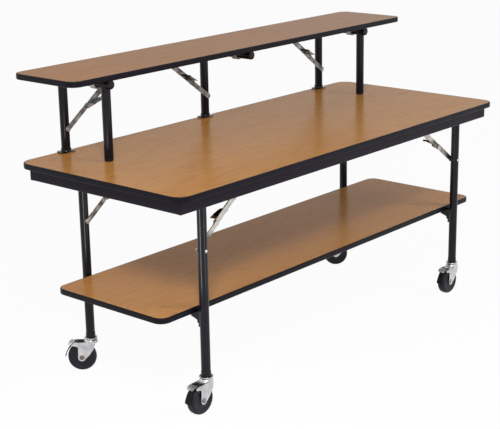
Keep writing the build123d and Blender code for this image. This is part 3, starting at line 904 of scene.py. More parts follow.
@dataclass(frozen=True)
class BraceSeat:
    """Where a brace sits.

    Fields: its fold axis beside the leg's inner face in metres, which ways it reaches inward from
    the leg and along the table, and by how many degrees its lever hangs.
    """

    pivot: Vector
    inward: int
    toward: int
    droop: float

    def place(self, at: Point, run: Point, up: Point) -> Matrix:
        """From a piece's own frame to the table.

        Args:
            at: the piece's origin, in millimetres along and above the fold axis.
            run: where its X axis goes, along and up.
            up: where its Z axis goes, along and up.

        Returns:
            The matrix; its Y axis goes inward from the leg.
        """
        f = self.toward
        return Matrix((
            (f * run[0], 0, f * up[0], self.pivot.x + f * at[0] * MM),
            (0, self.inward, 0, self.pivot.y),
            (run[1], 0, up[1], self.pivot.z + at[1] * MM),
            (0, 0, 0, 1),
        ))


@dataclass
class BraceKit(Kit):
    """The pieces of a two-link brace, each modelled once and copied to its seats.

    Sizes are millimetres; layers are counted inward from the leg's face.
    """

    leg_arm: float = 178.0
    top_arm: float = 205.0
    fold: float = 82.0
    lower_y: tuple[float, float] = (0.4, 4.4)
    upper_y: tuple[float, float] = (4.8, 7.3)
    flange_y: float = 9.8
    tongue_y: tuple[float, float] = (7.7, 10.7)
    lever_y: tuple[float, float] = (10.2, 12.7)
    lower_width: float = 17.6
    upper_width: float = 20.0
    eye_r: float = 10.0
    drop: float = DROP
    lever_length: float = 72.0
    lever_pad: float = 28.0
    lever_r: float = 8.0
    lever_wall: float = 2.5
    # where the short black tip starts: painted shade
    shade_tip_start: float = 52.0
    grip_dip: float = 24.0
    black_end_wall: float = 4.4
    anchor_half: float = 11.0
    foot_depth: float = 26.0
    foot_thick: float = 3.5
    screw_y: float = 15.6
    tube_r: float = TUBE_R

    def __post_init__(self) -> None:
        """Work out the straight brace and model each piece once."""
        tilt = radians(90 - self.fold)
        self.anchor_at = Vector((self.top_arm * cos(tilt), -self.top_arm * sin(tilt)))
        self.bolt_at = Vector((0.0, -self.leg_arm))
        span = self.bolt_at - self.anchor_at
        self.span = span.length
        self.run = span / self.span
        self.below = Vector((-self.run.y, self.run.x))
        self.upper = (self.span + self.top_arm - self.leg_arm) / 2
        self.knee_at = self.anchor_at + self.run * self.upper
        self.patterns = {
            "upper": self.upper_arm(), "lower": self.lower_arm(), "lever": self.lever(),
            LeverBlack.GRIP.value: self.grip(self.grip_dip), LeverBlack.TIP.value: self.grip(self.shade_tip_start),
            "anchor": self.anchor(), "bolt": self.bolt(), "rivet": self.rivet(),
        }

    def flat(self, name: str, outline: Sequence[Point], layer: Point) -> Piece:
        """A plate whose outline is drawn in the brace's own plane."""
        return Bench.plate(name, [(x, layer[0], z) for x, z in outline], (0, layer[1] - layer[0], 0))

    def strip(self, name: str, path: Sequence[Point], layer: Point, wall: float) -> Piece:
        """A bent strip: its path in the brace's plane, extruded inward and given a wall.

        Args:
            name: the strip's name.
            path: its line in the brace's plane.
            layer: where it starts and ends, inward of the leg.
            wall: how thick it is.

        Returns:
            The strip in edit mode.
        """
        piece = Bench.chain(name, in_mm((x, layer[0], z) for x, z in path))
        Bench.push((0, (layer[1] - layer[0]) * MM, 0))
        end = path[-1][0] * MM - TINY
        Bench.pick(piece, Element.VERTEX, lambda at, way: at.x > end)
        Bench.bevel(Element.VERTEX, 6 * MM, 6)
        Bench.thicken(piece, wall * MM)
        return piece

    def pin(self, name: str, profile: Sequence[Point], at: float, y: float) -> Piece:
        """A turned pin across the brace, at a distance along it."""
        return Bench.turn(name, profile, (at, y, 0), Y_AXIS, steps=32)

    def upper_arm(self) -> Piece:
        """A pressed channel: a round-ended web with two flanges that run out at their ends.

        Returns:
            The pattern.
        """
        r, end, wide = self.upper_width / 2, self.upper, self.upper_width
        web = self.flat("web", arc((0, 0), r, 90, 270, 14) + arc((end, 0), r, -90, 90, 14), self.upper_y)
        Bench.press(web, -1, 4.6, 0.7)
        parts = [Bench.close(web, 0.5)]
        low, high, near, far = self.upper_y[0] + 0.2, self.flange_y, 1.1 * wide, end - 0.9 * wide
        slope = [(near, low), (near + 9, high), (far - 9, high), (far, low)]
        for side in (-1, 1):
            wall = Bench.plate("wall", [(x, y, side * r) for x, y in slope], (0, 0, -side * 2))
            parts.append(Bench.close(wall, 0.7))
        return Bench.join("upper_pattern", parts)

    def rivet(self) -> Piece:
        """The knee rivet with its shoulder and its round head.

        Returns:
            The pattern.
        """
        low = self.upper_y[0] + 0.3
        step, top = self.flange_y - low, self.lever_y[1] + 0.4 - low
        shape = [(0, 0), (7, 0), (7, step - 0.5), (6.5, step), (4, step), (4, top), (6.6, top), (7, top + 0.5)]
        shape += [(6.2, top + 1.3), (4.4, top + 1.8), (2.2, top + 2.0), (0, top + 2.0)]
        return self.pin("rivet_pattern", shape, self.upper, low)

    def lower_arm(self) -> Piece:
        """A flat bar with two round eyes and a pressed hollow along its middle.

        Returns:
            The pattern.
        """
        r, half = self.eye_r, self.lower_width / 2
        side = degrees(asin(half / r))
        outline = arc((self.upper, 0), r, side, 360 - side, 18) + arc((self.span, 0), r, side - 180, 180 - side, 18)
        piece = self.flat("lower_pattern", outline, self.lower_y)
        Bench.press(piece, 1, half - 3.4, 0.8)
        return Bench.close(piece, 0.5)

    def lever(self) -> Piece:
        """The finger lever: an ear on the knee rivet, bent over into a curled pad.

        Returns:
            The pattern.
        """
        r, end, z, low = self.lever_r, self.lever_length, self.lever_r - self.lever_wall / 2, self.lever_y[0]
        ear = self.flat("ear", arc((0, 0), r, 90, 270, 10) + arc((end * 0.45, 0), r, -90, 90, 10), self.lever_y)
        parts = [Bench.close(ear, 0.5)]
        path = [(9.6, z), (30, z), (50, z), (60, z - 1.0), (67, z - 3.2), (end - 0.5, z - 6.2)]
        pad = self.strip("pad", path, (low, low + self.lever_pad), self.lever_wall)
        parts.append(Bench.close(pad, 0.6, smooth=25.0))
        return Bench.join("lever_pattern", parts)

    def grip(self, start: float) -> Piece:
        """The black over the lever's end: as the grip, dipped vinyl; as the short tip, painted shade.

        Args:
            start: where it starts along the lever.

        Returns:
            The pattern.
        """
        end, z, low = self.lever_length, self.lever_r - self.lever_wall / 2, self.lever_y[0]
        path = [(start, z), (start / 2 + 28, z), (56, z - 0.4), (60, z - 1.0), (67, z - 3.2), (end, z - 6.6)]
        tip = self.strip("grip_pattern", path, (low - 0.2, low + self.lever_pad + 0.6), self.black_end_wall)
        return Bench.close(tip, 1.6, segments=3, smooth=35.0)

    def anchor(self) -> Piece:
        """The angle bracket under the board: a round-ended tongue, a foot, and the arm's pin.

        Returns:
            The pattern.
        """
        half, under, (low, high) = self.anchor_half, self.drop - self.anchor_at.y, self.tongue_y
        tongue = self.flat("tongue", arc((0, 0), half, 180, 360, 14) + [(half, under), (-half, under)], self.tongue_y)
        parts = [Bench.close(tongue, 0.6)]
        deep, step = low + self.foot_depth, under - self.foot_thick
        foot = [(low + 0.2, under), (deep, under), (deep, step), (high - 0.2, step)]
        base = Bench.plate("foot", [(-half, y, z) for y, z in foot], (2 * half, 0, 0))
        parts.append(Bench.close(base, 0.6))
        head = [(0, 0), (4, 0), (4, 6.0), (6.4, 6.0), (6.8, 6.5), (5.6, 7.4), (3, 8.0), (0, 8.1)]
        parts.append(self.pin("pin", head, 0, self.upper_y[0] + 0.1))
        return Bench.join("anchor_pattern", parts)

    def bolt(self) -> Piece:
        """The leg's through bolt: a domed head outside and a dressed end in the lower arm.

        Returns:
            The pattern.
        """
        start, end = -2 * self.tube_r - 0.1, self.lower_y[1]
        dome = [(x, -y) for x, y in reversed(arc((0, -1.6), 5.9, 15, 90, 8))]
        head = [(r, start + a) for r, a in (*dome, (6.1, 0), (4, 0.1))]
        return self.pin("bolt_pattern", [(0, head[0][1]), *head, (4, end - 0.5), (3.5, end), (0, end)], 0, 0)

    def put(self, seat: BraceSeat, kind: str, name: str = "part") -> Piece:
        """Copy one piece to a seat.

        Args:
            seat: where the brace sits.
            kind: which pattern.
            name: the copy's name.

        Returns:
            The copy.
        """
        straight = seat.place(self.anchor_at, self.run, self.below)
        upright, droop = ((1, 0), (0, 1)), radians(seat.droop)
        run = self.below * sin(droop) - self.run * cos(droop)
        hanging = seat.place(self.knee_at, run, (-run.y, run.x))
        places = {
            "upper": straight, "lower": straight, "rivet": straight,
            "lever": hanging, LeverBlack.GRIP.value: hanging, LeverBlack.TIP.value: hanging,
            "anchor": seat.place(self.anchor_at, *upright), "bolt": seat.place(self.bolt_at, *upright),
        }
        return Bench.copy(self.patterns[kind], name, places[kind])

    def screw_at(self, seat: BraceSeat) -> tuple[float, float]:
        """Where the screw of an anchor's foot stands, in metres."""
        y = seat.pivot.y + seat.inward * (self.tongue_y[0] + self.screw_y) * MM
        return seat.pivot.x + seat.toward * self.anchor_at.x * MM, y

    def lay_lever(self, seat: BraceSeat, name: str, zinc: Finish, black_end: LeverBlack) -> None:
        """Put a lever at a seat with its black end, if any: the grip is dipped vinyl, the short tip is painted shade.

        Args:
            seat: where the brace sits.
            name: the lever's body and node.
            zinc: its finish.
            black_end: how much of it is black.
        """
        fit(self.put(seat, "lever", f"{name}_plate"), zinc, name, name)
        if black_end is not LeverBlack.NONE:
            fit(self.put(seat, black_end.value, f"{name}_grip"), VINYL_AND_SHADE_BLACK, name, name)

    def lay_arms(self, seats: Sequence[BraceSeat], prefix: str, suffix: str, zinc: Finish) -> None:
        """Put the upper arms with their rivets, and the lower arms, of one fold in place.

        Args:
            seats: where its braces sit.
            prefix: how the names of their bodies start.
            suffix: how they end.
            zinc: their finish.
        """
        for arm, shape, kinds in (("upper", "pressing", ("upper", "rivet")), ("lower", "bar", ("lower",))):
            node = f"{prefix}_{arm}_{suffix}"
            parts = [self.put(seat, kind) for seat in seats for kind in kinds]
            fit(Bench.join(f"{node}_{shape}", parts), zinc, node, node)


@dataclass
class Fixings:
    """Saddles that carry the pivot tubes, and the screws that hold saddles and anchors, in millimetres."""

    owner: str
    saddles: str
    body: str
    folds: tuple[str, ...]
    finish: Finish
    slot: str
    tube_r: float = TUBE_R
    wall: float = 5.0
    width: float = 26.0
    ear: float = 14.0
    flange: float = 3.5
    screw_r: float = 5.0
    screw_head: float = 1.6
    drop: float = DROP

    def saddle(self) -> Piece:
        """A D-shaped saddle with two ears, about its tube.

        Returns:
            The pattern.
        """
        r, top = self.tube_r + self.wall, self.drop
        reach, low = r + self.ear, top - self.flange
        ear = [(r, low - 2), (r + 0.6, low - 0.6), (r + 2, low), (reach, low), (reach, top)]
        outline = [*[(-x, z) for x, z in reversed(ear)], *arc((0, 0), r, 180, 360, 20), *ear]
        points = [(x, -self.width / 2, z) for x, z in outline]
        return Bench.close(Bench.plate("saddle_pattern", points, (0, self.width, 0)), 1.0, smooth=14.0)

    def screw(self) -> Piece:
        """A pan head with a driven recess, and the shank above it.

        Returns:
            The pattern.
        """
        r, thick = self.screw_r, self.screw_head
        shape = [(0, 0.9), (1.1, 0.6), (1.7, -0.9), (2.2, -1.0), (3.4, -0.8), (4.4, -0.3), (r, 0.7), (r, thick)]
        shape += [(2.5, thick), (2.5, 4.5), (0, 4.5)]
        profile = [(x, z - self.flange - thick) for x, z in shape]
        return Bench.turn("screw_pattern", profile, (0, 0, 0), steps=20)

    def build(self, anchors: Sequence[Point]) -> None:
        """Copy the saddles and the screws to their places.

        Args:
            anchors: where the screws of the brace anchors stand, in metres.
        """
        low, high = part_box(self.saddles)
        half, reach = self.width / 2 * MM, (self.tube_r + self.wall + self.ear / 2) * MM
        rows = (low.y + half, high.y - half)
        seats = [Vector((spot(fold).x, y, spot(fold).z)) for fold in self.folds for y in rows]
        pair = Bench.scatter(self.saddle(), self.saddles[:-1] + "_set", (Matrix.Translation(at) for at in seats))
        fit(pair, self.finish, self.body, self.saddles)
        spots = [(at.x + side * reach, at.y) for at in seats for side in (-1, 1)] + list(anchors)
        places = (Matrix.Translation((x, y, high.z)) for x, y in spots)
        screws = Bench.scatter(self.screw(), f"{self.owner}_screw_set", places)
        fit(screws, BRACE_ZINC, self.body, f"{self.owner}_screws")


@dataclass
class CasterKit(Kit):
    """A swivel caster with a wheel brake, modelled once at the origin with its wheel toward -X, in millimetres."""

    wheel_r: float = 50.8
    half: float = 16.0
    trail: float = 33.0
    arm_in: float = 17.5
    arm_out: float = 20.0
    crown_z: float = 106.0
    crown_r: float = 24.5
    crown_corner: float = 17.0
    top: float = 119.7
    pin: tuple[float, float] = (-62.0, 100.0)
    brake_wall: float = 2.4
    brake_corner: float = 5.0
    washer_r: float = 8.4
    washer: float = 1.0
    nut_r: float = 7.6
    nut: float = 3.5
    chamfer: float = 1.1

    def __post_init__(self) -> None:
        """Model each piece once."""
        self.patterns = {
            "fork": self.fork(), "axle": self.axle(), "tyre": self.tyre(), "core": self.core(),
            "rocker": self.rocker(), "tread": self.tread(),
        }

    def fork(self) -> Piece:
        """A pressed fork: a domed crown that carries the race, and two arms down to the axle.

        Returns:
            The pattern.
        """
        z, r, out, top = self.crown_z, self.crown_r, self.arm_out, self.top
        # a little inside the arms, so that no two faces share a plane
        rim = oblong(r, out - 0.4, self.crown_corner)
        crown = Bench.plate("crown", [(x, y, z - 2) for x, y in rim], (0, 0, 5.5))
        Bench.pick(crown, Element.FACE, lambda at, way: way.z > 0.9)
        Bench.bevel(Element.EDGE, 3 * MM, 4)
        parts = [Bench.close(crown, 0.4, smooth=28.0)]
        dome = [(0, z + 2), (r - 2, z + 2), (r - 0.8, z + 3.2), (r - 1.2, z + 5.4), (r - 2.6, z + 8)]
        dome += [(r - 4.6, z + 10.4), (r - 7, z + 12.4), (r - 8.2, z + 13), (r - 9, top), (0, top)]
        parts.append(Bench.turn("dome", dome, (0, 0, 0), steps=48))
        arm = [(13.4, z + 1), (13.4, z - 8), (10, z - 24), (-4, z - 44)]
        arm += arc((-self.trail, self.wheel_r), 13.6, -30, -190, 12)
        arm += [(-45.5, z - 38), (-45, z - 17), (-54, z - 12)]
        arm += [*arc(self.pin, 5.6, 250, 100, 8), (-50, z + 1), (-13.4, z + 1)]
        for side in (-1, 1):
            inner = [(x, side * self.arm_in, y) for x, y in arm]
            wall = Bench.plate("arm", inner, (0, side * (out - self.arm_in), 0))
            Bench.press(wall, side, 2.6, 0.6)
            parts.append(Bench.close(wall, 0.5, smooth=14.0))
        shape = [(0, -out), (2.4, -out), (3, -out + 0.6), (3, out - 0.6), (2.4, out), (0, out)]
        parts.append(Bench.turn("brake_pin", shape, (self.pin[0], 0, self.pin[1]), Y_AXIS, steps=20))
        return Bench.join("fork_pattern", parts)

    def axle(self) -> Piece:
        """The axle: a hex bolt head, a lock nut, and a washer under each.

        Returns:
            The pattern.
        """
        hub, out, r = Vector((-self.trail, 0, self.wheel_r)), self.arm_out, self.washer_r
        end = out + self.washer
        shape = [(0, -end), (r, -end), (r, -out), (5, -out), (5, out), (r, out), (r, end), (0, end)]
        parts = [Bench.turn("shank", shape, hub, Y_AXIS, steps=32, bevel=0.2)]
        for side in (-1, 1):
            seat, way = (hub + Vector((0, side * end, 0))) * MM, Vector((0, side * MM, 0))
            head = Bench.start(
                bpy.ops.mesh.primitive_circle_add, "head", vertices=6, radius=self.nut_r * MM, fill_type="NGON",
                location=seat, rotation=(pi / 2, 0.3, 0),
            )
            Bench.push(way * (self.nut - self.chamfer))
            Bench.push(way * self.chamfer)
            bpy.ops.transform.resize(value=(0.84, 1, 0.84), center_override=seat + way * self.nut)
            Bench.face_out()
            parts.append(Bench.close(head, 0.3))
        return Bench.join("axle_pattern", parts)

    def ring(self, name: str, profile: Sequence[Point]) -> Piece:
        """A ring about the axle, from half of its section."""
        whole = [*profile, *[(r, -y) for r, y in reversed(profile)], profile[0]]
        return Bench.turn(name, whole, (-self.trail, 0, self.wheel_r), Y_AXIS, steps=72, smooth=34.0)

    def tyre(self) -> Piece:
        """The tyre: a crowned tread and rounded shoulders.

        Returns:
            The pattern.
        """
        r, h = self.wheel_r, self.half
        bead = [(r * 0.7, h * 0.88), (r * 0.72, h - 0.8), (r * 0.76, h)]
        shoulder = [(r - 7, h - 0.2), (r - 4.6, h - 1.5), (r - 2.6, h - 3.6), (r - 1.2, h - 6.4), (r - 0.4, h - 10)]
        return self.ring("tyre_pattern", [*bead, *shoulder, (r, h - 14)])

    def core(self) -> Piece:
        """The core: a dished web between the tyre's bead and the hub.

        Returns:
            The pattern.
        """
        r, h = self.wheel_r, self.half
        hub = [(5.1, h + 1), (12.6, h + 1), (13.6, h), (14.4, h * 0.9), (16, h * 0.84)]
        web = [(r * 0.6, h * 0.83), (r * 0.66, h * 0.86), (r * 0.69, h * 0.9), (r * 0.71, h * 0.9)]
        return self.ring("core_pattern", hub + web)

    def bent(self, name: str, path: Sequence[Point], half: float) -> Piece:
        """A strip bent along a path in the wheel's plane, its folds and its last corners rounded.

        Args:
            name: the strip's name.
            path: its line in the wheel's plane.
            half: half its width.

        Returns:
            The strip.
        """
        def near(at: Vector, points: Sequence[Point]) -> bool:
            """Whether a place is on one of the path's points."""
            return any((Vector((at.x, at.z)) - Vector(point) * MM).length < TINY for point in points)

        strip = Bench.chain(name, in_mm((x, -half, z) for x, z in path))
        Bench.push((0, 2 * half * MM, 0))
        Bench.pick(strip, Element.VERTEX, lambda at, way: near(at, path[-1:]))
        Bench.bevel(Element.VERTEX, self.brake_corner * MM, 5)
        Bench.pick(strip, Element.EDGE, lambda at, way: abs(way.y) > half * MM and near(at, path[1:-1]))
        Bench.bevel(Element.EDGE, 2.2 * MM, 3)
        Bench.thicken(strip, self.brake_wall * MM)
        return Bench.close(strip, 0.5, smooth=34.0)

    def rocker(self) -> Piece:
        """The brake: a strip round the brake pin that reaches down along the tyre.

        Returns:
            The pattern.
        """
        strip = self.bent("rocker", [(-64.5, 104.6), (-66.5, 98), (-80.6, 80.4), (-90, 62), (-92, 52)], 12.0)
        shape = [(3.1, -14.5), (4.9, -14.5), (5.4, -14), (5.4, 14), (4.9, 14.5), (3.1, 14.5), (3.1, -14.5)]
        barrel = Bench.turn("barrel", shape, (self.pin[0], 0, self.pin[1]), Y_AXIS, steps=24)
        return Bench.join("rocker_pattern", [strip, barrel])

    def tread(self) -> Piece:
        """The plate that a foot presses, folded down at its tip."""
        return self.bent("tread_pattern", [(-57, 106.6), (-72, 106.6), (-76.6, 103.4), (-79.6, 97.4)], 14.5)

    def put(self, corner: str) -> None:
        """Copy the caster to one corner of the table, turned as it stands there.

        Args:
            corner: the corner's name.
        """
        stem = spot(f"{corner}_swivel")
        back = stem - spot(f"{corner}_roll")
        turn = -Vector((1, 0)).angle_signed(back.xy)
        place = Matrix.Translation((stem.x, stem.y, 0)) @ Matrix.Rotation(turn, 4, "Z")
        kinds = (
            ("fork", CASTER_ZINC, "fork", "bright_zinc"), ("axle", BRACE_ZINC, "fork", "zinc_steel"),
            ("tyre", WHEEL_RUBBER, "wheel", "black_rubber"), ("core", WHEEL_CORE, "wheel", "black_rubber"),
            ("rocker", BRAKE_STEEL, "brake_pedal", "zinc_steel"), ("tread", DULL_SHADED_ZINC, "brake_pedal", "zinc_steel"),
        )
        for kind, finish, part, slot in kinds:
            piece, node = Bench.copy(self.patterns[kind], f"{corner}_{kind}_piece", place), f"{corner}_{part}"
            fit(piece, finish, node, node)


@dataclass
class ShelfBrackets:
    """Four gussets under the shelf's edges, each with a bolt through it, in millimetres."""

    thick: float = 8.0
    inner: float = 165.0
    lug: float = 40.0
    rise: float = 9.0
    depth: float = 28.0
    tip: float = 8.0
    belly: float = 0.58
    base: float = 3.0
    base_corner: float = 8.0
    tube_r: float = TUBE_R
    gap: float = 0.3

    def __post_init__(self) -> None:
        """Read the shelf's place and the legs' from the frame."""
        low, high = (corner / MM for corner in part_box("shelf_edge_band"))
        leg = spot("rear_right_swivel") / MM
        self.under, self.middle, self.leg_x = low.z, (low.y + high.y) / 2, leg.x
        self.reach, self.edge = leg.y - self.middle, (high.y - low.y) / 2
        self.foot, self.end = self.edge - 1.0, self.reach - self.tube_r - self.gap

    def gusset(self) -> Piece:
        """A curved gusset under a screwed plate, reaching toward +Y to a lug beside the band, on the leg's stud.

        Returns:
            The pattern.
        """
        start, goal = Vector((self.foot - 4, -self.depth)), Vector((self.inner, -self.tip))
        via = Vector((self.inner / 2 + self.foot / 2, -self.depth * self.belly)) * 2 - (start + goal) / 2
        curve = [start * (1 - t) ** 2 + via * 2 * t * (1 - t) + goal * t ** 2 for t in (i / 12 for i in range(13))]
        beside, end, half = self.edge + self.gap, self.end, self.thick / 2
        lug = [(beside, 0), (beside, self.rise), (end, self.rise), (end, -self.lug), (self.foot, -self.lug)]
        outline = [(self.inner, 0), *lug, *curve]
        web = Bench.plate("web", [(-half, y, z) for y, z in outline], (self.thick, 0, 0))
        parts = [Bench.close(web, 0.9, smooth=14.0)]
        low, high, wide, cut = self.inner - 20, self.edge - 8, 2.6 * self.thick, self.base_corner
        rim = [(-wide, low + cut), (-wide + cut, low), (wide - cut, low), (wide, low + cut)]
        rim += [(wide, high), (-wide, high)]
        base = Bench.plate("base", [(x, y, -self.base) for x, y in rim], (0, 0, self.base))
        parts.append(Bench.close(base, 0.7))
        return Bench.join("gusset_pattern", parts)

    def bolt(self) -> Piece:
        """A round-headed bolt across the gusset.

        Returns:
            The pattern.
        """
        h = self.thick / 2
        half = [(0, h + 4.4), (2.4, h + 4.2), (4.4, h + 3.3), (5.6, h + 1.8), (6, h + 0.1), (4, h + 0.1)]
        shape = [*half, *[(r, -x) for r, x in reversed(half)]]
        return Bench.turn("bolt_pattern", shape, (0, 0.79 * self.reach, -self.depth * 0.42), X_AXIS, steps=28)

    def build(self) -> None:
        """Copy gusset and bolt to the four legs."""
        seats = [
            Matrix.Translation((x * MM, self.middle * MM, self.under * MM)) @ Matrix.Diagonal((1, side, 1, 1))
            for x in (-self.leg_x, self.leg_x) for side in (-1, 1)
        ]
        gussets = Bench.scatter(self.gusset(), "shelf_gussets", seats)
        fit(gussets, TUBE_POWDER, "shelf", "shelf_brackets")
        bolts = Bench.scatter(self.bolt(), "shelf_gusset_bolts", seats)
        fit(bolts, CASTER_ZINC, "shelf", "shelf_brackets")


@dataclass
class RiserLegs:
    """One leg set of the riser: a pivot tube, its legs, glides and the rear foot plate, in millimetres."""

    name: str
    front_leg: bool
    tube_r: float = TUBE_R
    tube_out: float = 28.0
    foot: tuple[float, float] = (66.0, 42.0)
    foot_corner: float = 14.0
    foot_low: float = 2.6
    foot_thick: float = 2.3

    def __post_init__(self) -> None:
        """Read the places of the tubes from the frame."""
        low, high = (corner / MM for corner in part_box(f"riser_{self.name}_legs"))
        self.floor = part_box("top_board")[1].z / MM
        self.front, self.rear = low.y, high.y - self.foot[1] / 2
        self.leg_ys = (self.front + self.tube_out, self.rear) if self.front_leg else (self.rear,)

    def turned(self, name: str, shape: Sequence[Point], foot: Point, axis: Point = Z_AXIS, steps: int = 48) -> Piece:
        """A turned part of the leg set."""
        return Bench.turn(name, shape, foot, axis, steps, smooth=32.0)

    def foot_plate(self, x: float) -> Piece:
        """The oblong plate that the rear leg stands in, and the neck round the tube.

        Args:
            x: where the leg stands along the riser.

        Returns:
            The foot.
        """
        rim = oblong(self.foot[0] / 2 - 0.2, self.foot[1] / 2 - 0.2, self.foot_corner)
        level = self.floor + self.foot_low
        plate = Bench.plate("plate", [(x + a, self.rear + b, level) for a, b in rim], (0, 0, self.foot_thick))
        plate = Bench.close(plate, 0.9, segments=3, smooth=30.0)
        r = self.tube_r + 1.9
        shape = [(0, 1.0), (r, 1.6), (r + 3.4, 4.8), (r + 1.2, 5.6), (r, 7.6), (r, 14.2), (r - 0.8, 15), (0, 15)]
        neck = self.turned("neck", shape, (x, self.rear, self.floor))
        return Bench.join(f"riser_{self.name}_foot", [plate, neck])

    def build(self) -> None:
        """Make the tubes, the glides and the foot."""
        pivot, r = spot(f"riser_{self.name}_fold") / MM, self.tube_r
        body = node = f"riser_{self.name}_legs"
        end, length = self.rear + r - self.front, pivot.z - self.floor
        cap = [(0, 0), (r - 2.4, 0), (r - 0.8, 0.6), (r, 2.2)]
        cap += [(radius, end - along) for radius, along in reversed(cap)]
        leg = [(0, 8), (r - 0.8, 8), (r, 8.8), (r, length), (0, length)]
        glide = [(0, 0.3), (r - 3.4, 0.7), (r - 1.2, 1.6), (r - 0.2, 3.4), (r, 6), (r, 9), (r - 0.4, 9.6), (0, 9.6)]
        feet = [(pivot.x, y, self.floor) for y in self.leg_ys]
        tubes = [self.turned("cross", cap, (pivot.x, self.front, pivot.z), Y_AXIS, 56)]
        tubes += [self.turned("leg", leg, foot, steps=56) for foot in feet]
        fit(Bench.join(f"riser_{self.name}_tubes", tubes), TUBE_POWDER, body, node)
        glides = [self.turned("glide", glide, foot) for foot in feet]
        fit(Bench.join(f"riser_{self.name}_glides", glides), GLIDE_NYLON, body, node)
        fit(self.foot_plate(pivot.x), TUBE_POWDER, body, node)


@dataclass(frozen=True)
class Lamp:
    """A soft box that faces a point, in metres and watts.

    A broad one isn't mirrored: gloss would show it as a white sheet on a board seen from across.
    """

    name: str
    at: tuple[float, float, float]
    aim: tuple[float, float, float]
    size: tuple[float, float]
    watts: float
    mirrored: bool = True

    def hang(self) -> Piece:
        """Make the lamp and turn it to its aim.

        Returns:
            The lamp.
        """
        data = bpy.data.lights.new(self.name, "AREA")
        data.shape, data.size, data.size_y, data.energy = "RECTANGLE", *self.size, self.watts
        box = bpy.data.objects.new(self.name, data)
        box.location = self.at
        box.visible_camera, box.visible_glossy = False, self.mirrored
        box.rotation_euler = (Vector(self.aim) - Vector(self.at)).to_track_quat("-Z", "Y").to_euler()
        bpy.context.scene.collection.objects.link(box)
        return box


@dataclass(frozen=True)
class Strip:
    """A strip beside a near leg, that streaks the black tubes and only glows on all else.

    Its place and its aim are in plan, both at one height, and streak and glow are in watts.
    """

    name: str
    at: tuple[float, float]
    aim: tuple[float, float]
    streak: float
    glow: float
    size: tuple[float, float] = (0.2, 0.42)
    z: float = 0.47

    def hang(self, tubes: bpy.types.Collection) -> None:
        """Hang it twice, mirrored for the tubes alone and unmirrored for all.

        Args:
            tubes: the pieces that it streaks.
        """
        ends = (*self.at, self.z), (*self.aim, self.z)
        Lamp(self.name, *ends, self.size, self.streak).hang().light_linking.receiver_collection = tubes
        Lamp(f"{self.name} glow", *ends, self.size, self.glow, mirrored=False).hang()


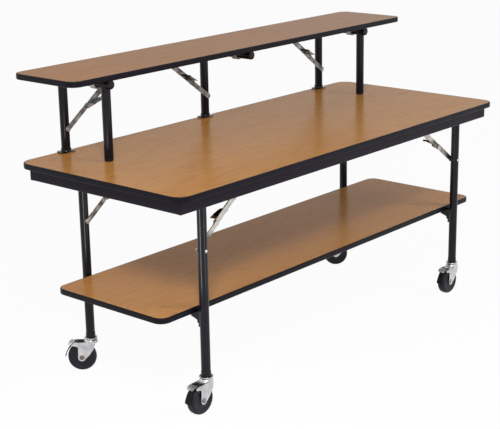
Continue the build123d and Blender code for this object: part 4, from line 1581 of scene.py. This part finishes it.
@dataclass
class Studio:
    """Floor, light and camera, in metres and degrees."""

    focal_px: float = 1306.36
    width_px: float = 500.0
    sensor_mm: float = 36.0
    yaw: float = 48.9616
    pitch: float = 16.4053
    roll: float = -1.0369
    stand: tuple[float, float, float] = (-3.6333, -3.0234, 1.8379)
    key: Lamp = Lamp("key", (-2.45, -1.85, 2.75), (-0.3, -0.1, 0.7), (0.8, 0.8), 75.0)
    fill: Lamp = Lamp("fill", (2.2, -5.2, 2.0), (0.3, -0.1, 0.5), (3.0, 1.6), 242.0, mirrored=False)
    strips: tuple[Strip, ...] = (
        Strip("left strip", (-1.37, -0.29), (-0.745, -0.1), 2.9, 1.9),
        Strip("right strip", (-0.71, -0.94), (-0.745, -0.3), 0.9, 0.9),
    )
    sky: float = 0.33
    floor_r: float = 60.0
    floor_grey: float = 0.82
    floor_white: float = 0.95

    def camera(self) -> None:
        """A plain camera at the photo's standpoint."""
        yaw, pitch, roll = (radians(v) for v in (self.yaw, self.pitch, self.roll))
        ahead = Vector((sin(yaw) * cos(pitch), cos(yaw) * cos(pitch), -sin(pitch)))
        right = Vector((cos(yaw), -sin(yaw), 0.0))
        up = right.cross(ahead)
        right, up = right * cos(roll) + up * sin(roll), up * cos(roll) - right * sin(roll)
        data = bpy.data.cameras.new("camera")
        data.sensor_fit, data.sensor_width = "HORIZONTAL", self.sensor_mm
        data.lens = self.focal_px * self.sensor_mm / self.width_px
        seat = bpy.data.objects.new("camera", data)
        seat.matrix_world = Matrix((right, up, -ahead)).transposed().to_4x4()
        seat.location = self.stand
        bpy.context.scene.collection.objects.link(seat)
        bpy.context.scene.camera = seat

    def lights(self) -> None:
        """Hang the lamps, and the strips for what is coated black."""
        tubes = bpy.data.collections.new("black tubes")
        for piece in bpy.context.scene.objects:
            if piece.type == "MESH" and TUBE_POWDER.name in piece.data.materials:
                tubes.objects.link(piece)
        self.key.hang()
        self.fill.hang()
        for strip in self.strips:
            strip.hang(tubes)

    def paper(self, tree: Tree, out: str, seen: Node, plain: Node, share: float) -> None:
        """Let what the camera and mirrors see of a surface be nearly white.

        Args:
            tree: the node tree of the floor or the world.
            out: the type of its output node.
            seen: the white that is seen.
            plain: what lights the table.
            share: how much of what is seen is that white.
        """
        rays = add_node(tree, "LightPath").outputs
        direct = {0: rays["Is Camera Ray"], 1: rays["Is Glossy Ray"]}
        first = add_node(tree, "Math", direct, operation="MAXIMUM")
        both = add_node(tree, "Math", {0: first, 1: rays["Is Transmission Ray"]}, operation="MAXIMUM")
        part = add_node(tree, "Math", {0: both, 1: share}, operation="MULTIPLY")
        mixed = add_node(tree, "MixShader", {0: part, 1: plain, 2: seen})
        add_node(tree, out, {"Surface": mixed})

    def build(self) -> None:
        """Set the floor, the lights and the camera."""
        scene, white, grey = bpy.context.scene, (1.0, 1.0, 1.0, 1.0), (*[self.floor_grey] * 3, 1.0)
        scene.view_settings.view_transform = "Standard"
        self.camera()
        scene.world = bpy.data.worlds.new("studio")
        tree = blank(scene.world)
        dim = add_node(tree, "Background", {"Color": white, "Strength": self.sky})
        bright = add_node(tree, "Background", {"Color": white, "Strength": 1.0})
        self.paper(tree, "OutputWorld", bright, dim, 1.0)
        floor = Bench.start(
            bpy.ops.mesh.primitive_circle_add, "floor", vertices=64, radius=self.floor_r, fill_type="NGON",
        )
        Bench.close(floor)
        made = bpy.data.materials.new("white studio floor")
        tree = blank(made)
        plain = add_node(tree, "BsdfDiffuse", {"Color": grey})
        bright = add_node(tree, "Emission", {"Color": white, "Strength": 1.0})
        self.paper(tree, "OutputMaterial", bright, plain, self.floor_white)
        floor.data.materials.append(made)
        self.lights()


def table_braces(kit: BraceKit) -> list[tuple[float, float]]:
    """Put the braces of both leg sets in place.

    Args:
        kit: the pieces of a brace.

    Returns:
        Where the screws of their anchors stand, in metres.
    """
    screws, anchors = [], []
    for hand in Hand:
        axis, seats, bolts, side = spot(f"{hand.value}_legs_fold"), [], [], hand.value
        for end in End:
            face = spot(f"{end.value}_{side}_swivel").y + end.inward * kit.tube_r * MM
            seat = BraceSeat(Vector((axis.x, face, axis.z)), end.inward, hand.inward, LEVER_DROOP[hand])
            kit.lay_lever(seat, f"{side}_{end.value}_lever", BRACE_ZINC, LeverBlack.GRIP)
            seats.append(seat)
            bolts.append(kit.put(seat, "bolt"))
            anchors.append(kit.put(seat, "anchor"))
            screws.append(kit.screw_at(seat))
        kit.lay_arms(seats, side, "arms", BRACE_ZINC)
        pair = Bench.join(f"{side}_brace_bolt_pair", bolts)
        fit(pair, CASTER_ZINC, f"{side}_legs", f"{side}_brace_bolts")
    anchor_set = Bench.join("leg_brace_anchor_set", anchors)
    fit(anchor_set, BRACE_ZINC, "table", "leg_brace_anchors")
    return screws


def riser_legs(kit: BraceKit) -> list[tuple[float, float]]:
    """Build the leg sets of the riser, each with its brace.

    Args:
        kit: the pieces of a brace.

    Returns:
        Where the screws of their anchors stand, in metres.
    """
    screws, anchors = [], []
    # the way along X that the brace reaches, whether there is a front leg, how its lever hangs, and how much of it is
    # black: the short tips are painted shade
    sets = (("left", 1, True, 20.0, LeverBlack.NONE), ("middle", -1, False, 5.0, LeverBlack.TIP), ("right", -1, True, 5.0, LeverBlack.TIP))
    for name, toward, front_leg, droop, black_end in sets:
        prefix, legs = f"riser_{name}", RiserLegs(name, front_leg)
        legs.build()
        axis = spot(f"{prefix}_fold")
        seat = BraceSeat(Vector((axis.x, (legs.rear - kit.tube_r) * MM, axis.z)), -1, toward, droop)
        # the riser's levers and arms take the darker zinc, painted shade
        kit.lay_lever(seat, f"{prefix}_lever", DULL_SHADED_ZINC, black_end)
        kit.lay_arms([seat], prefix, "arm", DULL_SHADED_ZINC)
        bolt = kit.put(seat, "bolt", f"{prefix}_brace_bolt")
        fit(bolt, CASTER_ZINC, f"{prefix}_legs", f"{prefix}_legs")
        anchors.append(kit.put(seat, "anchor"))
        screws.append(kit.screw_at(seat))
    anchor_set = Bench.join("riser_brace_anchor_set", anchors)
    fit(anchor_set, DULL_SHADED_ZINC, "riser", "riser_brace_anchors")
    return screws


def main() -> None:
    """Build the table from its sub-assemblies, then the studio."""
    logging.basicConfig(level=logging.INFO, format="%(message)s")
    Panel("top", "table", corner=50.0 * MM, oak=TOP_OAK).build()
    Panel("shelf", "shelf", corner=38.0 * MM, oak=SHELF_OAK).build()
    Panel("riser", "riser", corner=38.0 * MM, oak=RISER_OAK).build()
    Apron().build()
    for hand in Hand:
        LegSet(hand).build()
    kit = BraceKit()
    leg_screws, riser_screws = table_braces(kit), riser_legs(kit)
    kit.sweep()
    folds = ("left_legs_fold", "right_legs_fold")
    Fixings("top", "leg_saddles", "table", folds, TUBE_POWDER, "black_steel").build(leg_screws)
    folds = ("riser_left_fold", "riser_middle_fold", "riser_right_fold")
    # the riser's saddles take the darker zinc, painted shade
    Fixings("riser", "riser_saddles", "riser", folds, DULL_SHADED_ZINC, "zinc_steel").build(riser_screws)
    casters = CasterKit()
    for hand in Hand:
        for end in End:
            casters.put(f"{end.value}_{hand.value}")
    casters.sweep()
    ShelfBrackets().build()
    Studio().build()


if __name__ == "__main__":
    main()
